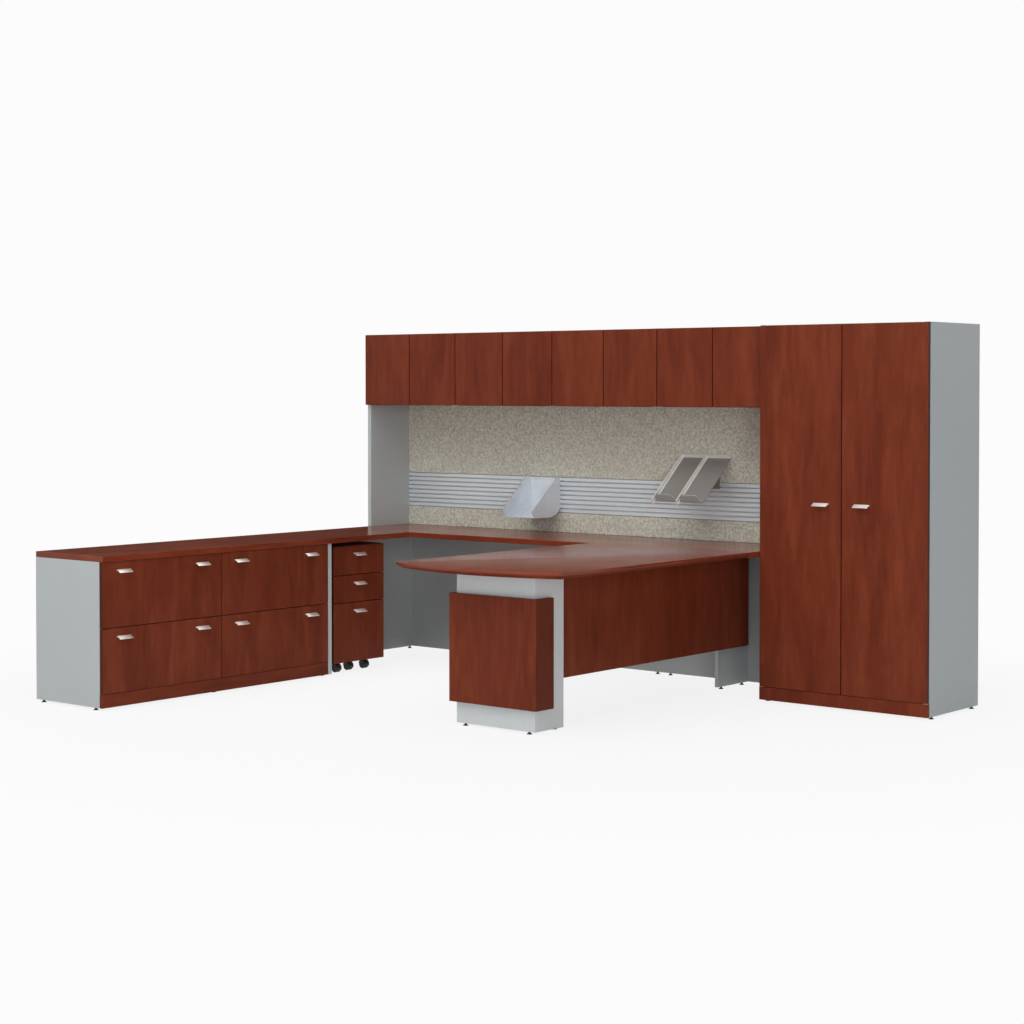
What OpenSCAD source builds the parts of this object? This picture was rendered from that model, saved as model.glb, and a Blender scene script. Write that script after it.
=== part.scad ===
// U-shaped office desk: lateral files and a return on the left, a rear worktop, a bow-front
// peninsula, an overhead cabinet over a tackboard and slat rail, and a tall two-door cabinet.
// +X runs along the rear wall to the tall cabinet, +Y towards the wall, +Z up. The origin is on
// the floor, under the middle of the whole outline.

/* [Layout] */
// Height of the worktops above the floor
desk_h = 737; // [700:1:780]
// Height of the tall cabinet and of the overhead cabinet's top
tower_h = 1841; // [1700:1:2100]
// Gap under the panels that the levelling glides fill
glide_h = 12; // [8:1:20]
// Width of one lateral file
file_w = 762; // [600:1:920]
// Length of the open part of the left run, behind the lateral files
return_l = 1219.2; // [1000:1:1500]
// Depth of the left run, to the faces of its drawer fronts
run_d = 500; // [440:1:600]
// Depth of the rear worktop
rear_d = 592; // [520:1:760]
// Width of the tall cabinet
tower_w = 914.4; // [760:1:1060]
// Depth of the tall cabinet, to the faces of its doors
tower_d = 508; // [440:1:620]
// Gap between the tall cabinet and what stands beside it
tower_gap = 2; // [1:0.5:6]

/* [Boards] */
// Thickness of the worktops
top_t = 28; // [24:1:38]
// Thickness of the cabinet and back boards
board_t = 19; // [16:1:22]
// Thickness of the drawer fronts and doors
front_t = 19; // [16:1:22]
// Thickness of the exposed panel legs and tall sides
leg_t = 25; // [19:1:32]
// Gap between neighbouring drawer fronts
front_gap = 3; // [2.5:0.1:5]
// Gap between neighbouring doors
door_gap = 5; // [2.5:0.1:6]
// Gap between a front and the cabinet edge behind it
bumper_gap = 2; // [1.6:0.1:4]
// How far a worktop stands proud of the drawer fronts
top_lip = 6; // [2:1:20]

/* [Lateral files] */
// Height of the top of the plinth
plinth_z = 77; // [60:1:110]
// Height of the split between the two drawers
file_split_z = 391; // [360:1:420]
// How far a lateral drawer opens
file_travel = 400; // [300:1:410]
// Height of a lateral drawer box's sides
file_box_h = 225; // [150:1:245]

/* [Peninsula] */
// Width of the peninsula worktop
pen_w = 973; // [860:1:1100]
// Distance from the rear wall to the peninsula's front corners
pen_reach = 2066; // [1900:1:2300]
// How far the front edge bows out at its middle
pen_bow = 105; // [20:1:160]
// Height of the peninsula's edge band, above its set-back underside
pen_edge_h = 20; // [14:1:22]
// Set-back of the underside from the edge
pen_setback = 16; // [8:1:30]
// Distance from the peninsula's front corners to the face of the box leg
gable_back = 100; // [40:1:200]
// Width of the box leg at the peninsula's end
gable_w = 457; // [380:1:560]
// Depth of the box leg
gable_d = 204; // [150:1:260]
// Distance from the peninsula's tall-cabinet edge to the box leg and the modesty panel
gable_inset = 233.5; // [180:1:300]
// Height of the underside of the modesty panel
modesty_z = 233; // [150:1:400]
// How far the wooden jacket stands proud of the box leg
jacket_t = 25; // [16:1:30]
// Height of the jacket's lower edge above the floor
jacket_z = 110; // [60:1:200]
// Height of the wooden jacket
jacket_h = 494; // [400:1:560]
// How far the jacket reaches back along the box leg's sides
jacket_side_d = 102; // [60:1:140]
// Distance from the rear plane to the end of the modesty panel
modesty_end = 240; // [200:1:400]
// Distance from the tall cabinet to the support leg under the rear worktop
leg_inset = 377; // [300:1:600]
// Depth of the support leg
leg_d = 302; // [200:1:450]

/* [Overhead cabinet] */
// Length of the overhead cabinet, and of the desk from its outer side to the tall cabinet
over_w = 2743.2; // [2400:1:3300]
// Depth of the overhead cabinet, to the faces of its doors
over_d = 406; // [340:1:460]
// Height of the overhead cabinet
over_h = 403; // [340:1:460]
// Depth of the panel that carries the overhead cabinet's free end
over_leg_d = 384; // [300:1:385]

/* [Tall cabinet] */
// Height of the door bottoms
tower_door_z = 78; // [60:1:120]
// Distance from the tall cabinet's top down to the hat shelf over the coat rod
hat_drop = 241; // [200:1:320]
// Height of the door pulls
tower_pull_z = 989; // [900:1:1100]
// Distance from the cabinet's middle to the middle of each door pull
tower_pull_off = 111; // [60:1:150]

/* [Back wall] */
// Distance from the rear plane to the face of the tackboard
tack_y = 60; // [50:1:80]
// Spacing of the slats
slat_pitch = 24.9; // [23:0.1:26]
// Height of a slat's face
slat_face_h = 18; // [17:0.1:19]
// Depth of the slats
slat_d = 20; // [16:1:24]

/* [Pedestal] */
// Width of the rolling pedestal
ped_w = 396; // [360:1:420]
// Depth of the rolling pedestal
ped_d = 450; // [400:1:455]
// Height of the pedestal's lower edge above the floor
ped_z = 56; // [54:1:70]
// Height of the pedestal's upper edge
ped_top_z = 686; // [660:1:694]
// Gap between the pedestal and the panel leg beside it
ped_gap = 38; // [10:1:60]
// How far the pedestal's fronts stand behind those of the files
ped_recess = 25; // [0:1:28]
// Height of the split between file drawer and box drawer
ped_split_low_z = 379; // [360:1:400]
// Height of the split between box drawer and pencil drawer
ped_split_high_z = 528; // [515:1:540]
// How far a pedestal drawer opens
ped_travel = 330; // [250:1:340]
// Diameter of the caster wheels
wheel_dia = 46; // [40:1:46]

/* [Rail accessories] */
// Width of one sloping paper tray
tray_w = 151; // [120:1:160]
// Gap between the two trays
tray_gap = 2; // [1:0.5:20]
// Distance from the tall cabinet to the left tray's left edge
tray_x = 762; // [720:1:900]
// How far the tray's lower edge stands out from the tackboard
tray_out = 262; // [240:1:320]
// Height of the lip along the tray's lower edge
tray_lip = 55; // [30:1:60]
// Height of the flanges along the tray's left and upper edges
tray_flange = 26; // [10:1:30]
// Distance from the tall cabinet to the binder shelf's left side
shelf_x = 1795; // [1700:1:1900]
// Width of the binder shelf
shelf_w = 210; // [160:1:280]
// How far the binder shelf stands out from the tackboard
shelf_out = 254; // [200:1:300]
// Distance from the slat rail's lower edge down to the binder shelf's underside
shelf_drop = 21; // [10:1:30]
// Height of the binder shelf's cheeks
shelf_h = 226; // [200:1:260]

/* [Hardware] */
// Width of a drawer or door pull
pull_w = 82; // [60:1:110]
// How far a pull stands out
pull_out = 25; // [18:1:32]
// How far a pull's tab drops
pull_drop = 16; // [12:1:24]
// Thickness of a pull's plate
pull_t = 3; // [2:0.5:4]
// Distance from a front's upper edge down to its pull
pull_below = 37; // [20:1:45]
// Distance between the two pulls of a lateral drawer
pull_spread = 500; // [300:1:520]
// Radius of a levelling glide's pad
glide_r = 13; // [9:1:14]

/* [Hidden] */
$fn = 48;

// Colours
wood = [0.42, 0.19, 0.13];
wood_top = [0.50, 0.27, 0.21];
silver = [0.66, 0.69, 0.70];
fabric = [0.60, 0.59, 0.53];
nickel = [0.76, 0.73, 0.67];
black = [0.06, 0.06, 0.07];
steel = [0.55, 0.56, 0.58];

// Clearances
joint_gap = 0.2;
run_gap = 0.3;
pin_fit = 0.08;
overrun = 1;

// Counts
file_count = 2;
bay_count = 8;
pair = 2;
half = 1 / 2;

// Outline
bay_w = (over_w - tower_gap) / bay_count;
overall_w = over_w + tower_w;
overall_d = file_count * file_w + return_l;
x_left = -overall_w / 2;
x_right = overall_w / 2;
x_tower = x_right - tower_w;
y_back = overall_d / 2;
y_front = -overall_d / 2;
x_run = x_left + run_d;
y_post = y_front + file_count * file_w;
z_under = desk_h - top_t;

// Left run
x_case = x_run - front_t - bumper_gap;
y_file_in = [y_front + board_t, y_front + file_w + board_t];
y_file_out = [y_front + file_w - board_t, y_front + file_count * file_w - board_t];
file_floor_z = plinth_z + board_t;
runner_h = 45;
runner_fixed_t = 6;
runner_slide_t = 5.5;
runner_keep = 20;
runner_l = file_travel + runner_keep;
runner_up = 70;
box_side_t = 12;
box_floor_t = 8;
box_d = 430;
runner_space = runner_fixed_t + run_gap + runner_slide_t + joint_gap;
file_box_lift = 30;
hang_rail_t = 4;
hang_rail_h = 16;
file_z = [plinth_z, file_split_z, z_under];

// Peninsula
x_pen = x_tower - pen_w;
y_pen_in = y_back - rear_d;
y_pen = y_back - pen_reach;
pen_bow_r = (pen_w * half * pen_w * half / pen_bow + pen_bow) * half;
pen_arc_fn = 720;
x_gable_right = x_tower - gable_inset;
x_gable_left = x_gable_right - gable_w;
y_gable = y_pen + gable_back;
gable_side_t = 48;
leg_x = x_tower - leg_inset;
back_seam_share = 1 / 3;
back_seam_x = x_tower - over_w * back_seam_share;

// Overhead cabinet and back wall
over_z = tower_h - over_h;
over_pairs = bay_count / pair;
over_pair_w = pair * bay_w;
slat_count = 8;
slat_root_h = 9;
rail_h = slat_count * slat_pitch;
rail_share = 0.1526;
rail_z = desk_h + rail_share * (over_z - desk_h);
y_wall = y_back - tack_y;
x_wall = [x_left + leg_t + joint_gap, x_tower - joint_gap];

// Tall cabinet
tower_back_t = 9;
y_tower_face = y_back - tower_d;
y_tower_case = y_tower_face + front_t + bumper_gap;
tower_mid_x = x_tower + tower_w * half;
tower_shelf_count = 3;
hat_shelf_z = tower_h - hat_drop;
shelf_set_back = 25;
rod_r = 12.5;
rod_drop = 60;
rod_cup_r = 20;
rod_cup_t = 6;

// Door pivots
pivot_edge = 6;
pivot_face = 4;
pivot_r = 2;
pivot_plate_t = 2;
pivot_plate_l = 60;
pivot_plate_w = 20;
pivot_pin_l = 12;
pivot_door_gap = 0.3;
pivot_room = pivot_plate_t + pivot_door_gap;
tower_plinth_z = tower_door_z - pivot_room - joint_gap;
tower_floor_z = tower_plinth_z + board_t;

// Overhead doors, numbered from the left and hinged in pairs on the ends and dividers
y_over_face = y_back - over_d;
function over_left_hung(k) = k % pair == 0;
function over_door_x(k) = [x_left + k * bay_w + door_gap * half,
                           x_left + (k + 1) * bay_w - door_gap * half];
function over_edge(k) = over_left_hung(k) ? over_door_x(k)[0] : over_door_x(k)[1];
function tower_door_x(k) = [x_tower + k * tower_w * half + door_gap * half,
                            x_tower + (k + 1) * tower_w * half - door_gap * half];

// Levelling glides
glide_pad_h = 7;
glide_stem_r = 5;
glide_inset = 42;

// Pedestal, its drawers counted from below
x_ped = x_run - ped_recess;
x_ped_case = x_ped - front_t - bumper_gap;
x_ped_back = x_ped - ped_d;
ped_y = y_post + leg_t + ped_gap;
ped_count = 3;
ped_board_t = 16;
ped_splits = [ped_z, ped_split_low_z, ped_split_high_z, ped_top_z];
ped_box_share = [0.58, 0.6, 0.38];
ped_box_d = 400;
ped_runner_keep = 60;
ped_runner_l = ped_travel + ped_runner_keep;
ped_runner_up = 26;
ped_runner_h = 30;
ped_box_lift = 14;
function ped_seat(k) = k == 0 ? ped_z + ped_board_t : ped_splits[k];

// Casters, one near each corner and a fifth in the middle of the front against tipping
caster_corners = 4;
caster_count = caster_corners + 1;
caster_inset = 30;
caster_rear_inset = 48;
caster_side_inset = 90;
caster_mid_step = 15;
wheel_r = wheel_dia * half;
wheel_t = 13;
wheel_trail = 16;
axle_r = 4;
fork_plate_r = 19;
fork_plate_t = 3;
fork_neck_r = 9;
fork_web_l = 24;
fork_web_t = 6;
stem_r = 4;
stem_l = 12;
function caster_corner(k) = [
  k < pair ? x_ped_case - caster_inset : x_ped_back + caster_rear_inset,
  k % pair == 0 ? ped_y + caster_side_inset : ped_y + ped_w - caster_side_inset
];
function caster_at(k) = k < caster_corners ? caster_corner(k) :
  [x_ped_case - caster_inset - caster_mid_step, ped_y + ped_w * half];

// Pulls
pull_root_h = 10;

// Accessories
sheet_t = 2;
hook_t = 2;
hook_in = 14;
hook_foot_d = 3;
hook_foot_h = 10.5;
hook_w = 56;
tray_low_share = 0.2981;
tray_high_share = 0.6177;
tray_low_z = desk_h + tray_low_share * (over_z - desk_h);
tray_high_z = desk_h + tray_high_share * (over_z - desk_h);
gusset_t = 2.5;
gusset_out = 110;
gusset_drop = 74;
bracket_in = 20;
bracket_w = 60;
bracket_drop = 10;
tray_groove = 7;
shelf_z = rail_z - shelf_drop;
shelf_grooves = [3, 7];
shelf_crest = 30;
shelf_crest_drop = 25;
shelf_nose = 26;
shelf_nose_h = 35;
shelf_heel = 85;
shelf_heel_in = 36;
shelf_heel_h = 15;
shelf_back_h = 50;

// A block between two opposite corners
module block(lo, hi) {
  translate(lo) cube(hi - lo);
}

// A disc or pad standing on the given point
module post(at, r, h) {
  translate(at) cylinder(r = r, h = h);
}

// Profile in the YZ plane, carried along +X from x over the given length
module along_x(x, length, points) {
  translate([x, 0, 0]) rotate([90, 0, 90]) linear_extrude(length) polygon(points);
}

// Profile in the XZ plane, carried along +Y from y over the given length
module along_y(y, length, points) {
  translate([0, y + length, 0]) rotate([90, 0, 0]) linear_extrude(length) polygon(points);
}

// Worktops
module left_top() color(wood_top)
  block([x_left, y_front, z_under], [x_run + top_lip, y_back, desk_h]);

module rear_top() color(wood_top)
  block([x_run + top_lip + joint_gap, y_pen_in, z_under], [x_tower - tower_gap, y_back, desk_h]);

// Outline of the peninsula, drawn in from its three free edges by inset
module peninsula_outline(inset) {
  intersection() {
    translate([x_pen + inset, y_pen - pen_bow + inset])
      square([pen_w - tower_gap - pair * inset, y_pen_in - joint_gap - y_pen + pen_bow - inset]);
    translate([x_pen + pen_w * half, y_pen - pen_bow + pen_bow_r])
      circle(r = pen_bow_r - inset, $fn = pen_arc_fn);
  }
}

module peninsula_top() color(wood_top) {
  translate([0, 0, desk_h - pen_edge_h]) linear_extrude(pen_edge_h) peninsula_outline(0);
  translate([0, 0, z_under]) linear_extrude(top_t - pen_edge_h) peninsula_outline(pen_setback);
}

// Lateral file carcasses and the plinth board that runs along both
module file_cases() color(wood) {
  x_in = x_left + board_t + joint_gap;
  for (i = [0 : file_count - 1]) {
    y0 = y_front + i * file_w;
    y_in = y_file_in[i] + joint_gap;
    y_out = y_file_out[i] - joint_gap;
    if (i > 0) block([x_in, y0 + joint_gap, glide_h], [x_case, y0 + board_t, z_under]);
    block([x_in, y_file_out[i], glide_h], [x_case, y_file_out[i] + board_t, z_under]);
    block([x_in, y_in, plinth_z], [x_case, y_out, file_floor_z]);
    block([x_in, y_in, z_under - board_t], [x_case, y_out, z_under]);
  }
  block([x_case + joint_gap, y_front, glide_h], [x_run - bumper_gap, y_post - joint_gap, plinth_z]);
}

// Silver panels: near end, post beside the pedestal, support leg, and overhead cabinet's end
module panel_legs() color(silver) {
  block([x_left, y_front, glide_h], [x_case, y_front + board_t, z_under]);
  block([x_left + board_t + joint_gap, y_post, glide_h], [x_run, y_post + leg_t, z_under]);
  block([leg_x - board_t, y_back - leg_d, glide_h], [leg_x, y_back - leg_t - joint_gap, z_under]);
  block([x_left, y_back - over_leg_d, desk_h], [x_left + leg_t, y_back, over_z - joint_gap]);
}

// Silver panels that close the left run's outer side, the rear, and the wall of the tackboards
module back_panels() color(silver) {
  y_mid = y_post + leg_t * half;
  x_in = x_left + board_t + joint_gap;
  block([x_left, y_front + board_t + joint_gap, glide_h],
        [x_left + board_t, y_mid - joint_gap, z_under]);
  block([x_left, y_mid, glide_h], [x_left + board_t, y_back, z_under]);
  block([x_in, y_back - leg_t, glide_h], [back_seam_x - joint_gap, y_back, z_under]);
  block([back_seam_x, y_back - leg_t, glide_h], [x_wall[1], y_back, z_under]);
  block([x_wall[0], y_back - board_t, desk_h], [x_wall[1], y_back, over_z - joint_gap]);
}

// Box leg under the peninsula's end: two thick cheeks with a board in front and behind
module peninsula_gable() color(silver) {
  y0 = y_gable;
  y1 = y_gable + gable_d;
  x0 = x_gable_left;
  x1 = x_gable_right;
  block([x0, y0, glide_h], [x0 + gable_side_t, y1, z_under]);
  block([x1 - gable_side_t, y0, glide_h], [x1, y1, z_under]);
  for (y = [y0, y1 - board_t])
    block([x0 + gable_side_t + joint_gap, y, glide_h],
          [x1 - gable_side_t - joint_gap, y + board_t, z_under]);
}

// Wooden jacket wrapped round the front of the box leg
module gable_jacket() color(wood) {
  y0 = y_gable - jacket_t;
  y1 = y_gable - joint_gap;
  z1 = jacket_z + jacket_h;
  block([x_gable_left - jacket_t, y0, jacket_z], [x_gable_right + jacket_t, y1, z1]);
  block([x_gable_left - jacket_t, y_gable, jacket_z],
        [x_gable_left - joint_gap, y_gable + jacket_side_d, z1]);
  block([x_gable_right + joint_gap, y_gable, jacket_z],
        [x_gable_right + jacket_t, y_gable + jacket_side_d, z1]);
}

module modesty_panel() color(wood)
  block([x_gable_right - board_t, y_gable + gable_d + joint_gap, modesty_z],
        [x_gable_right, y_back - modesty_end, z_under]);

// Overhead carcass: floor, roof, back, two ends and the dividers between door pairs
module overhead_case() color(wood) {
  y0 = y_back - over_d + front_t + bumper_gap;
  y1 = y_back - board_t - joint_gap;
  x1 = x_tower - joint_gap;
  z0 = over_z + board_t;
  z1 = tower_h - board_t;
  difference() {
    union() {
      block([x_left, y0, over_z], [x1, y_back, z0]);
      block([x_left, y0, z1], [x1, y_back, tower_h]);
    }
    pivot_plates(joint_gap);
  }
  block([x_left, y1 + joint_gap, z0 + joint_gap], [x1, y_back, z1 - joint_gap]);
  for (i = [0 : over_pairs]) {
    x = i == 0 ? x_left : i == over_pairs ? x1 - board_t : x_left + i * over_pair_w - board_t * half;
    block([x, y0, z0 + joint_gap], [x + board_t, y1, z1 - joint_gap]);
  }
}

module tackboards() color(fabric) {
  y1 = y_back - board_t - joint_gap;
  block([x_wall[0], y_wall, desk_h], [x_wall[1], y1, rail_z - joint_gap]);
  block([x_wall[0], y_wall, rail_z + rail_h + joint_gap], [x_wall[1], y1, over_z - joint_gap]);
}

// Slat rail: a flat web with dovetail slats, whose undercuts hold the accessories' hooks
module slat_rail() color(silver) {
  length = x_wall[1] - x_wall[0];
  y_root = y_wall + slat_d;
  block([x_wall[0], y_root, rail_z], [x_wall[1], y_back - board_t - joint_gap, rail_z + rail_h]);
  for (i = [0 : slat_count - 1]) {
    z = rail_z + (i + half) * slat_pitch;
    along_x(x_wall[0], length, [
      [y_wall, z - slat_face_h * half], [y_root - joint_gap, z - slat_root_h * half],
      [y_root - joint_gap, z + slat_root_h * half], [y_wall, z + slat_face_h * half]
    ]);
  }
}

// Tall cabinet: sides, roof and back
module tower_case() color(silver) {
  x0 = x_tower + leg_t;
  x1 = x_right - leg_t;
  z1 = tower_h - board_t;
  difference() {
    union() {
      block([x_tower, y_tower_case, glide_h], [x0, y_back, tower_h]);
      block([x1, y_tower_case, glide_h], [x_right, y_back, tower_h]);
      block([x0 + joint_gap, y_tower_case, z1], [x1 - joint_gap, y_back, tower_h]);
    }
    pivot_plates(joint_gap);
  }
  block([x0 + joint_gap, y_back - tower_back_t, glide_h],
        [x1 - joint_gap, y_back, z1 - joint_gap]);
}

function tower_shelf_z(i) =
  tower_floor_z + (tower_h - board_t - tower_floor_z) * (i + 1) / (tower_shelf_count + 1);

// Tall cabinet's wooden inside: plinth, floor, centre divider, hat shelf and shelves
module tower_fittings() color(wood) {
  x0 = x_tower + leg_t + joint_gap;
  x1 = x_right - leg_t - joint_gap;
  y1 = y_back - tower_back_t - joint_gap;
  xm0 = tower_mid_x - board_t * half;
  xm1 = tower_mid_x + board_t * half;
  y_shelf = y_tower_case + shelf_set_back;
  block([x_tower, y_tower_face + bumper_gap, glide_h],
        [x_right, y_tower_case - joint_gap, tower_plinth_z]);
  block([x0, y_tower_case, tower_plinth_z], [x1, y1, tower_floor_z]);
  block([xm0, y_tower_case, tower_floor_z + joint_gap],
        [xm1, y1, tower_h - board_t - joint_gap]);
  block([x0, y_shelf, hat_shelf_z], [xm0 - joint_gap, y1, hat_shelf_z + board_t]);
  for (i = [0 : tower_shelf_count - 1])
    block([xm1 + joint_gap, y_shelf, tower_shelf_z(i)], [x1, y1, tower_shelf_z(i) + board_t]);
}

// Coat rod and the two flanges that hold it
module coat_rod() {
  x0 = x_tower + leg_t + joint_gap;
  length = tower_mid_x - board_t * half - joint_gap - x0;
  y = y_tower_case + (tower_d - front_t) * half;
  translate([x0, y, hat_shelf_z - rod_drop]) rotate([0, 90, 0]) {
    translate([0, 0, rod_cup_t + joint_gap])
      cylinder(r = rod_r, h = length - pair * (rod_cup_t + joint_gap));
    cylinder(r = rod_cup_r, h = rod_cup_t);
    translate([0, 0, length - rod_cup_t]) cylinder(r = rod_cup_r, h = rod_cup_t);
  }
}

// One levelling glide: a pad on the floor and its stem up to the panel's underside
module glide(x, y) {
  post([x, y, 0], glide_r, glide_pad_h);
  post([x, y, 0], glide_stem_r, glide_h);
}

// Glides under every panel, set in from the ends of the panels they carry
module levelling_glides() color(black) {
  for (x = [x_left + glide_inset, x_case - glide_inset]) {
    glide(x, y_front + glide_r);
    glide(x, y_front + file_w);
    glide(x, y_post + leg_t * half);
  }
  for (y = [y_back - glide_inset, (y_post + y_back) * half]) glide(x_left + glide_r, y);
  for (x = [x_run, back_seam_x - glide_inset, back_seam_x + glide_inset])
    glide(x, y_back - glide_r);
  for (x = [x_gable_left + glide_inset, x_gable_right - glide_inset],
       y = [y_gable + glide_r, y_gable + gable_d - glide_r])
    glide(x, y);
  for (y = [y_back - leg_d + glide_inset, y_back - leg_t - glide_inset])
    glide(leg_x - board_t * half, y);
  for (x = [x_tower + glide_r, x_right - glide_r],
       y = [y_tower_case + glide_inset, y_back - glide_inset])
    glide(x, y);
}

// Fixed runners on the sides of the lateral files, two to a drawer
module drawer_runners()
  for (i = [0 : file_count - 1], z = [file_floor_z, file_split_z],
       y = [y_file_in[i] + joint_gap, y_file_out[i] - joint_gap - runner_fixed_t])
    block([x_case - runner_l, y, z + runner_up],
          [x_case - bumper_gap, y + runner_fixed_t, z + runner_up + runner_h]);

// Drawer front over a bay of the given size, with the reveal taken off all round
module front_board(x_face, y0, y1, z0, z1) color(wood)
  block([x_face - front_t, y0 + front_gap * half, z0 + front_gap * half],
        [x_face, y1 - front_gap * half, z1 - front_gap * half]);

// Open drawer box of five boards, with the sliding halves of its runners
module drawer_box(x_back, x_front, y_in, y_out, z0, h) {
  block([x_back, y_in, z0], [x_front, y_in + box_side_t, z0 + h]);
  block([x_back, y_out - box_side_t, z0], [x_front, y_out, z0 + h]);
  y0 = y_in + box_side_t + joint_gap;
  y1 = y_out - box_side_t - joint_gap;
  for (x = [x_back, x_front - box_side_t]) block([x, y0, z0], [x + box_side_t, y1, z0 + h]);
  block([x_back + box_side_t + joint_gap, y0, z0],
        [x_front - box_side_t - joint_gap, y1, z0 + box_floor_t]);
}

module sliding_runners(x0, x1, y_in, y_out, z0, h)
  for (y = [y_in - joint_gap - runner_slide_t, y_out + joint_gap])
    block([x0, y, z0], [x1, y + runner_slide_t, z0 + h]);

// Lateral drawers: i counts the files from the near end, tier is 0 below and 1 above
module file_front(i, tier)
  front_board(x_run, y_front + i * file_w, y_front + (i + 1) * file_w,
              file_z[tier], file_z[tier + 1]);

// Lateral drawer box, with hanging rails at its front and back for the folders
module file_box(i, tier) color(steel) {
  x1 = x_run - front_t - joint_gap;
  x0 = x1 - box_d;
  y_in = y_file_in[i] + runner_space;
  y_out = y_file_out[i] - runner_space;
  z_seat = tier == 0 ? file_floor_z : file_split_z;
  z0 = z_seat + file_box_lift;
  z1 = z0 + file_box_h;
  drawer_box(x0, x1, y_in, y_out, z0, file_box_h);
  sliding_runners(x1 - runner_l, x1, y_in, y_out, z_seat + runner_up, runner_h);
  for (x = [x0 + box_side_t + joint_gap, x1 - box_side_t - joint_gap - hang_rail_t])
    block([x, y_in + box_side_t + joint_gap, z1 - hang_rail_h],
          [x + hang_rail_t, y_out - box_side_t - joint_gap, z1]);
}

// A pull bent from one plate: a short root on the face and a tab that slopes out and down.
// It is drawn for a face that looks along +X, with the tab's root at the origin.
module pull_shape() {
  slope = atan2(pull_drop, pull_out);
  thick_z = pull_t / cos(slope);
  along_y(-pull_w * half, pull_w, [
    [0, 0], [pull_out, -pull_drop],
    [pull_out - pull_t * sin(slope), -pull_drop - pull_t * cos(slope)],
    [pull_t, -thick_z - pull_t * tan(slope)], [pull_t, -pull_root_h], [0, -pull_root_h]
  ]);
}

module file_pulls(i, tier) color(nickel)
  for (s = [-half, half])
    translate([x_run, y_front + (i + half) * file_w + s * pull_spread,
               file_z[tier + 1] - pull_below])
      pull_shape();

// Rolling pedestal: sides, roof, floor and back, with the drawers' fixed runners
module pedestal_case() color(wood) {
  y0 = ped_y + ped_board_t + joint_gap;
  y1 = ped_y + ped_w - ped_board_t - joint_gap;
  z_roof = ped_top_z - ped_board_t;
  for (y = [ped_y, ped_y + ped_w - ped_board_t])
    block([x_ped_back, y, ped_z], [x_ped_case, y + ped_board_t, ped_top_z]);
  block([x_ped_back, y0, z_roof], [x_ped_case, y1, ped_top_z]);
  difference() {
    block([x_ped_back, y0, ped_z], [x_ped_case, y1, ped_z + ped_board_t]);
    for (k = [0 : caster_count - 1])
      post([caster_at(k)[0], caster_at(k)[1], ped_z - overrun], stem_r + pin_fit,
           stem_l + overrun + joint_gap);
  }
  block([x_ped_back, y0, ped_z + ped_board_t + joint_gap],
        [x_ped_back + ped_board_t, y1, z_roof - joint_gap]);
  for (k = [0 : ped_count - 1], y = [y0, y1 - runner_fixed_t]) {
    z = ped_seat(k) + ped_runner_up;
    block([x_ped_case - ped_runner_l, y, z],
          [x_ped_case - bumper_gap, y + runner_fixed_t, z + ped_runner_h]);
  }
}

// Pedestal drawers, counted from below: a front with its open box behind it
module ped_drawer(k) color(wood) {
  x1 = x_ped - front_t - joint_gap;
  y_in = ped_y + ped_board_t + runner_space;
  y_out = ped_y + ped_w - ped_board_t - runner_space;
  z = ped_seat(k) + ped_runner_up;
  front_board(x_ped, ped_y, ped_y + ped_w, ped_splits[k], ped_splits[k + 1]);
  drawer_box(x1 - ped_box_d, x1, y_in, y_out, ped_seat(k) + ped_box_lift,
             ped_box_share[k] * (ped_splits[k + 1] - ped_splits[k]));
  sliding_runners(x1 - ped_runner_l, x1, y_in, y_out, z, ped_runner_h);
}

module ped_pull(k) color(nickel)
  translate([x_ped, ped_y + ped_w * half, ped_splits[k + 1] - pull_below]) pull_shape();

// Casters, numbered front near, front far, rear near, rear far, front middle
module caster_fork(k) color(black) {
  neck_z = wheel_dia + run_gap * pair;
  z1 = ped_z - joint_gap;
  translate([caster_at(k)[0], caster_at(k)[1], 0]) {
    post([0, 0, z1 - fork_plate_t], fork_plate_r, fork_plate_t);
    post([0, 0, neck_z], fork_neck_r, z1 - neck_z);
    post([0, 0, neck_z], stem_r, ped_z + stem_l - neck_z);
    difference() {
      block([-wheel_trail - fork_web_l * half, -fork_web_t * half, wheel_r - fork_neck_r],
            [fork_web_l * half, fork_web_t * half, neck_z + fork_plate_t]);
      translate([-wheel_trail, -fork_web_t * half - overrun, wheel_r])
        rotate([-90, 0, 0])
          cylinder(r = axle_r + pin_fit, h = fork_web_t + pair * overrun);
    }
  }
}

module caster_wheels(k) color(black) {
  y1 = fork_web_t * half + run_gap;
  translate([caster_at(k)[0] - wheel_trail, caster_at(k)[1], wheel_r]) rotate([-90, 0, 0]) {
    translate([0, 0, -y1 - wheel_t]) cylinder(r = axle_r, h = pair * (y1 + wheel_t));
    for (z = [-y1 - wheel_t, y1]) translate([0, 0, z]) cylinder(r = wheel_r, h = wheel_t);
  }
}

// A door leaf with the blind bores of its two pivot pins, in from the hinge edge and the face
module door_leaf(x, y_face, z0, z1, left_hung) color(wood) {
  x_pin = left_hung ? x[0] + pivot_edge : x[1] - pivot_edge;
  bore_l = pivot_pin_l + pivot_door_gap;
  difference() {
    block([x[0], y_face, z0], [x[1], y_face + front_t, z1]);
    for (z = [z0 - overrun, z1 - bore_l])
      post([x_pin, y_face + pivot_face, z], pivot_r + pin_fit, bore_l + overrun);
  }
}

module overhead_door(k)
  door_leaf(over_door_x(k), y_over_face, over_z + pivot_room, tower_h - pivot_room,
            over_left_hung(k));

module tower_door(k)
  door_leaf(tower_door_x(k), y_tower_face, tower_door_z, tower_h - pivot_room, k == 0);

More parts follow.
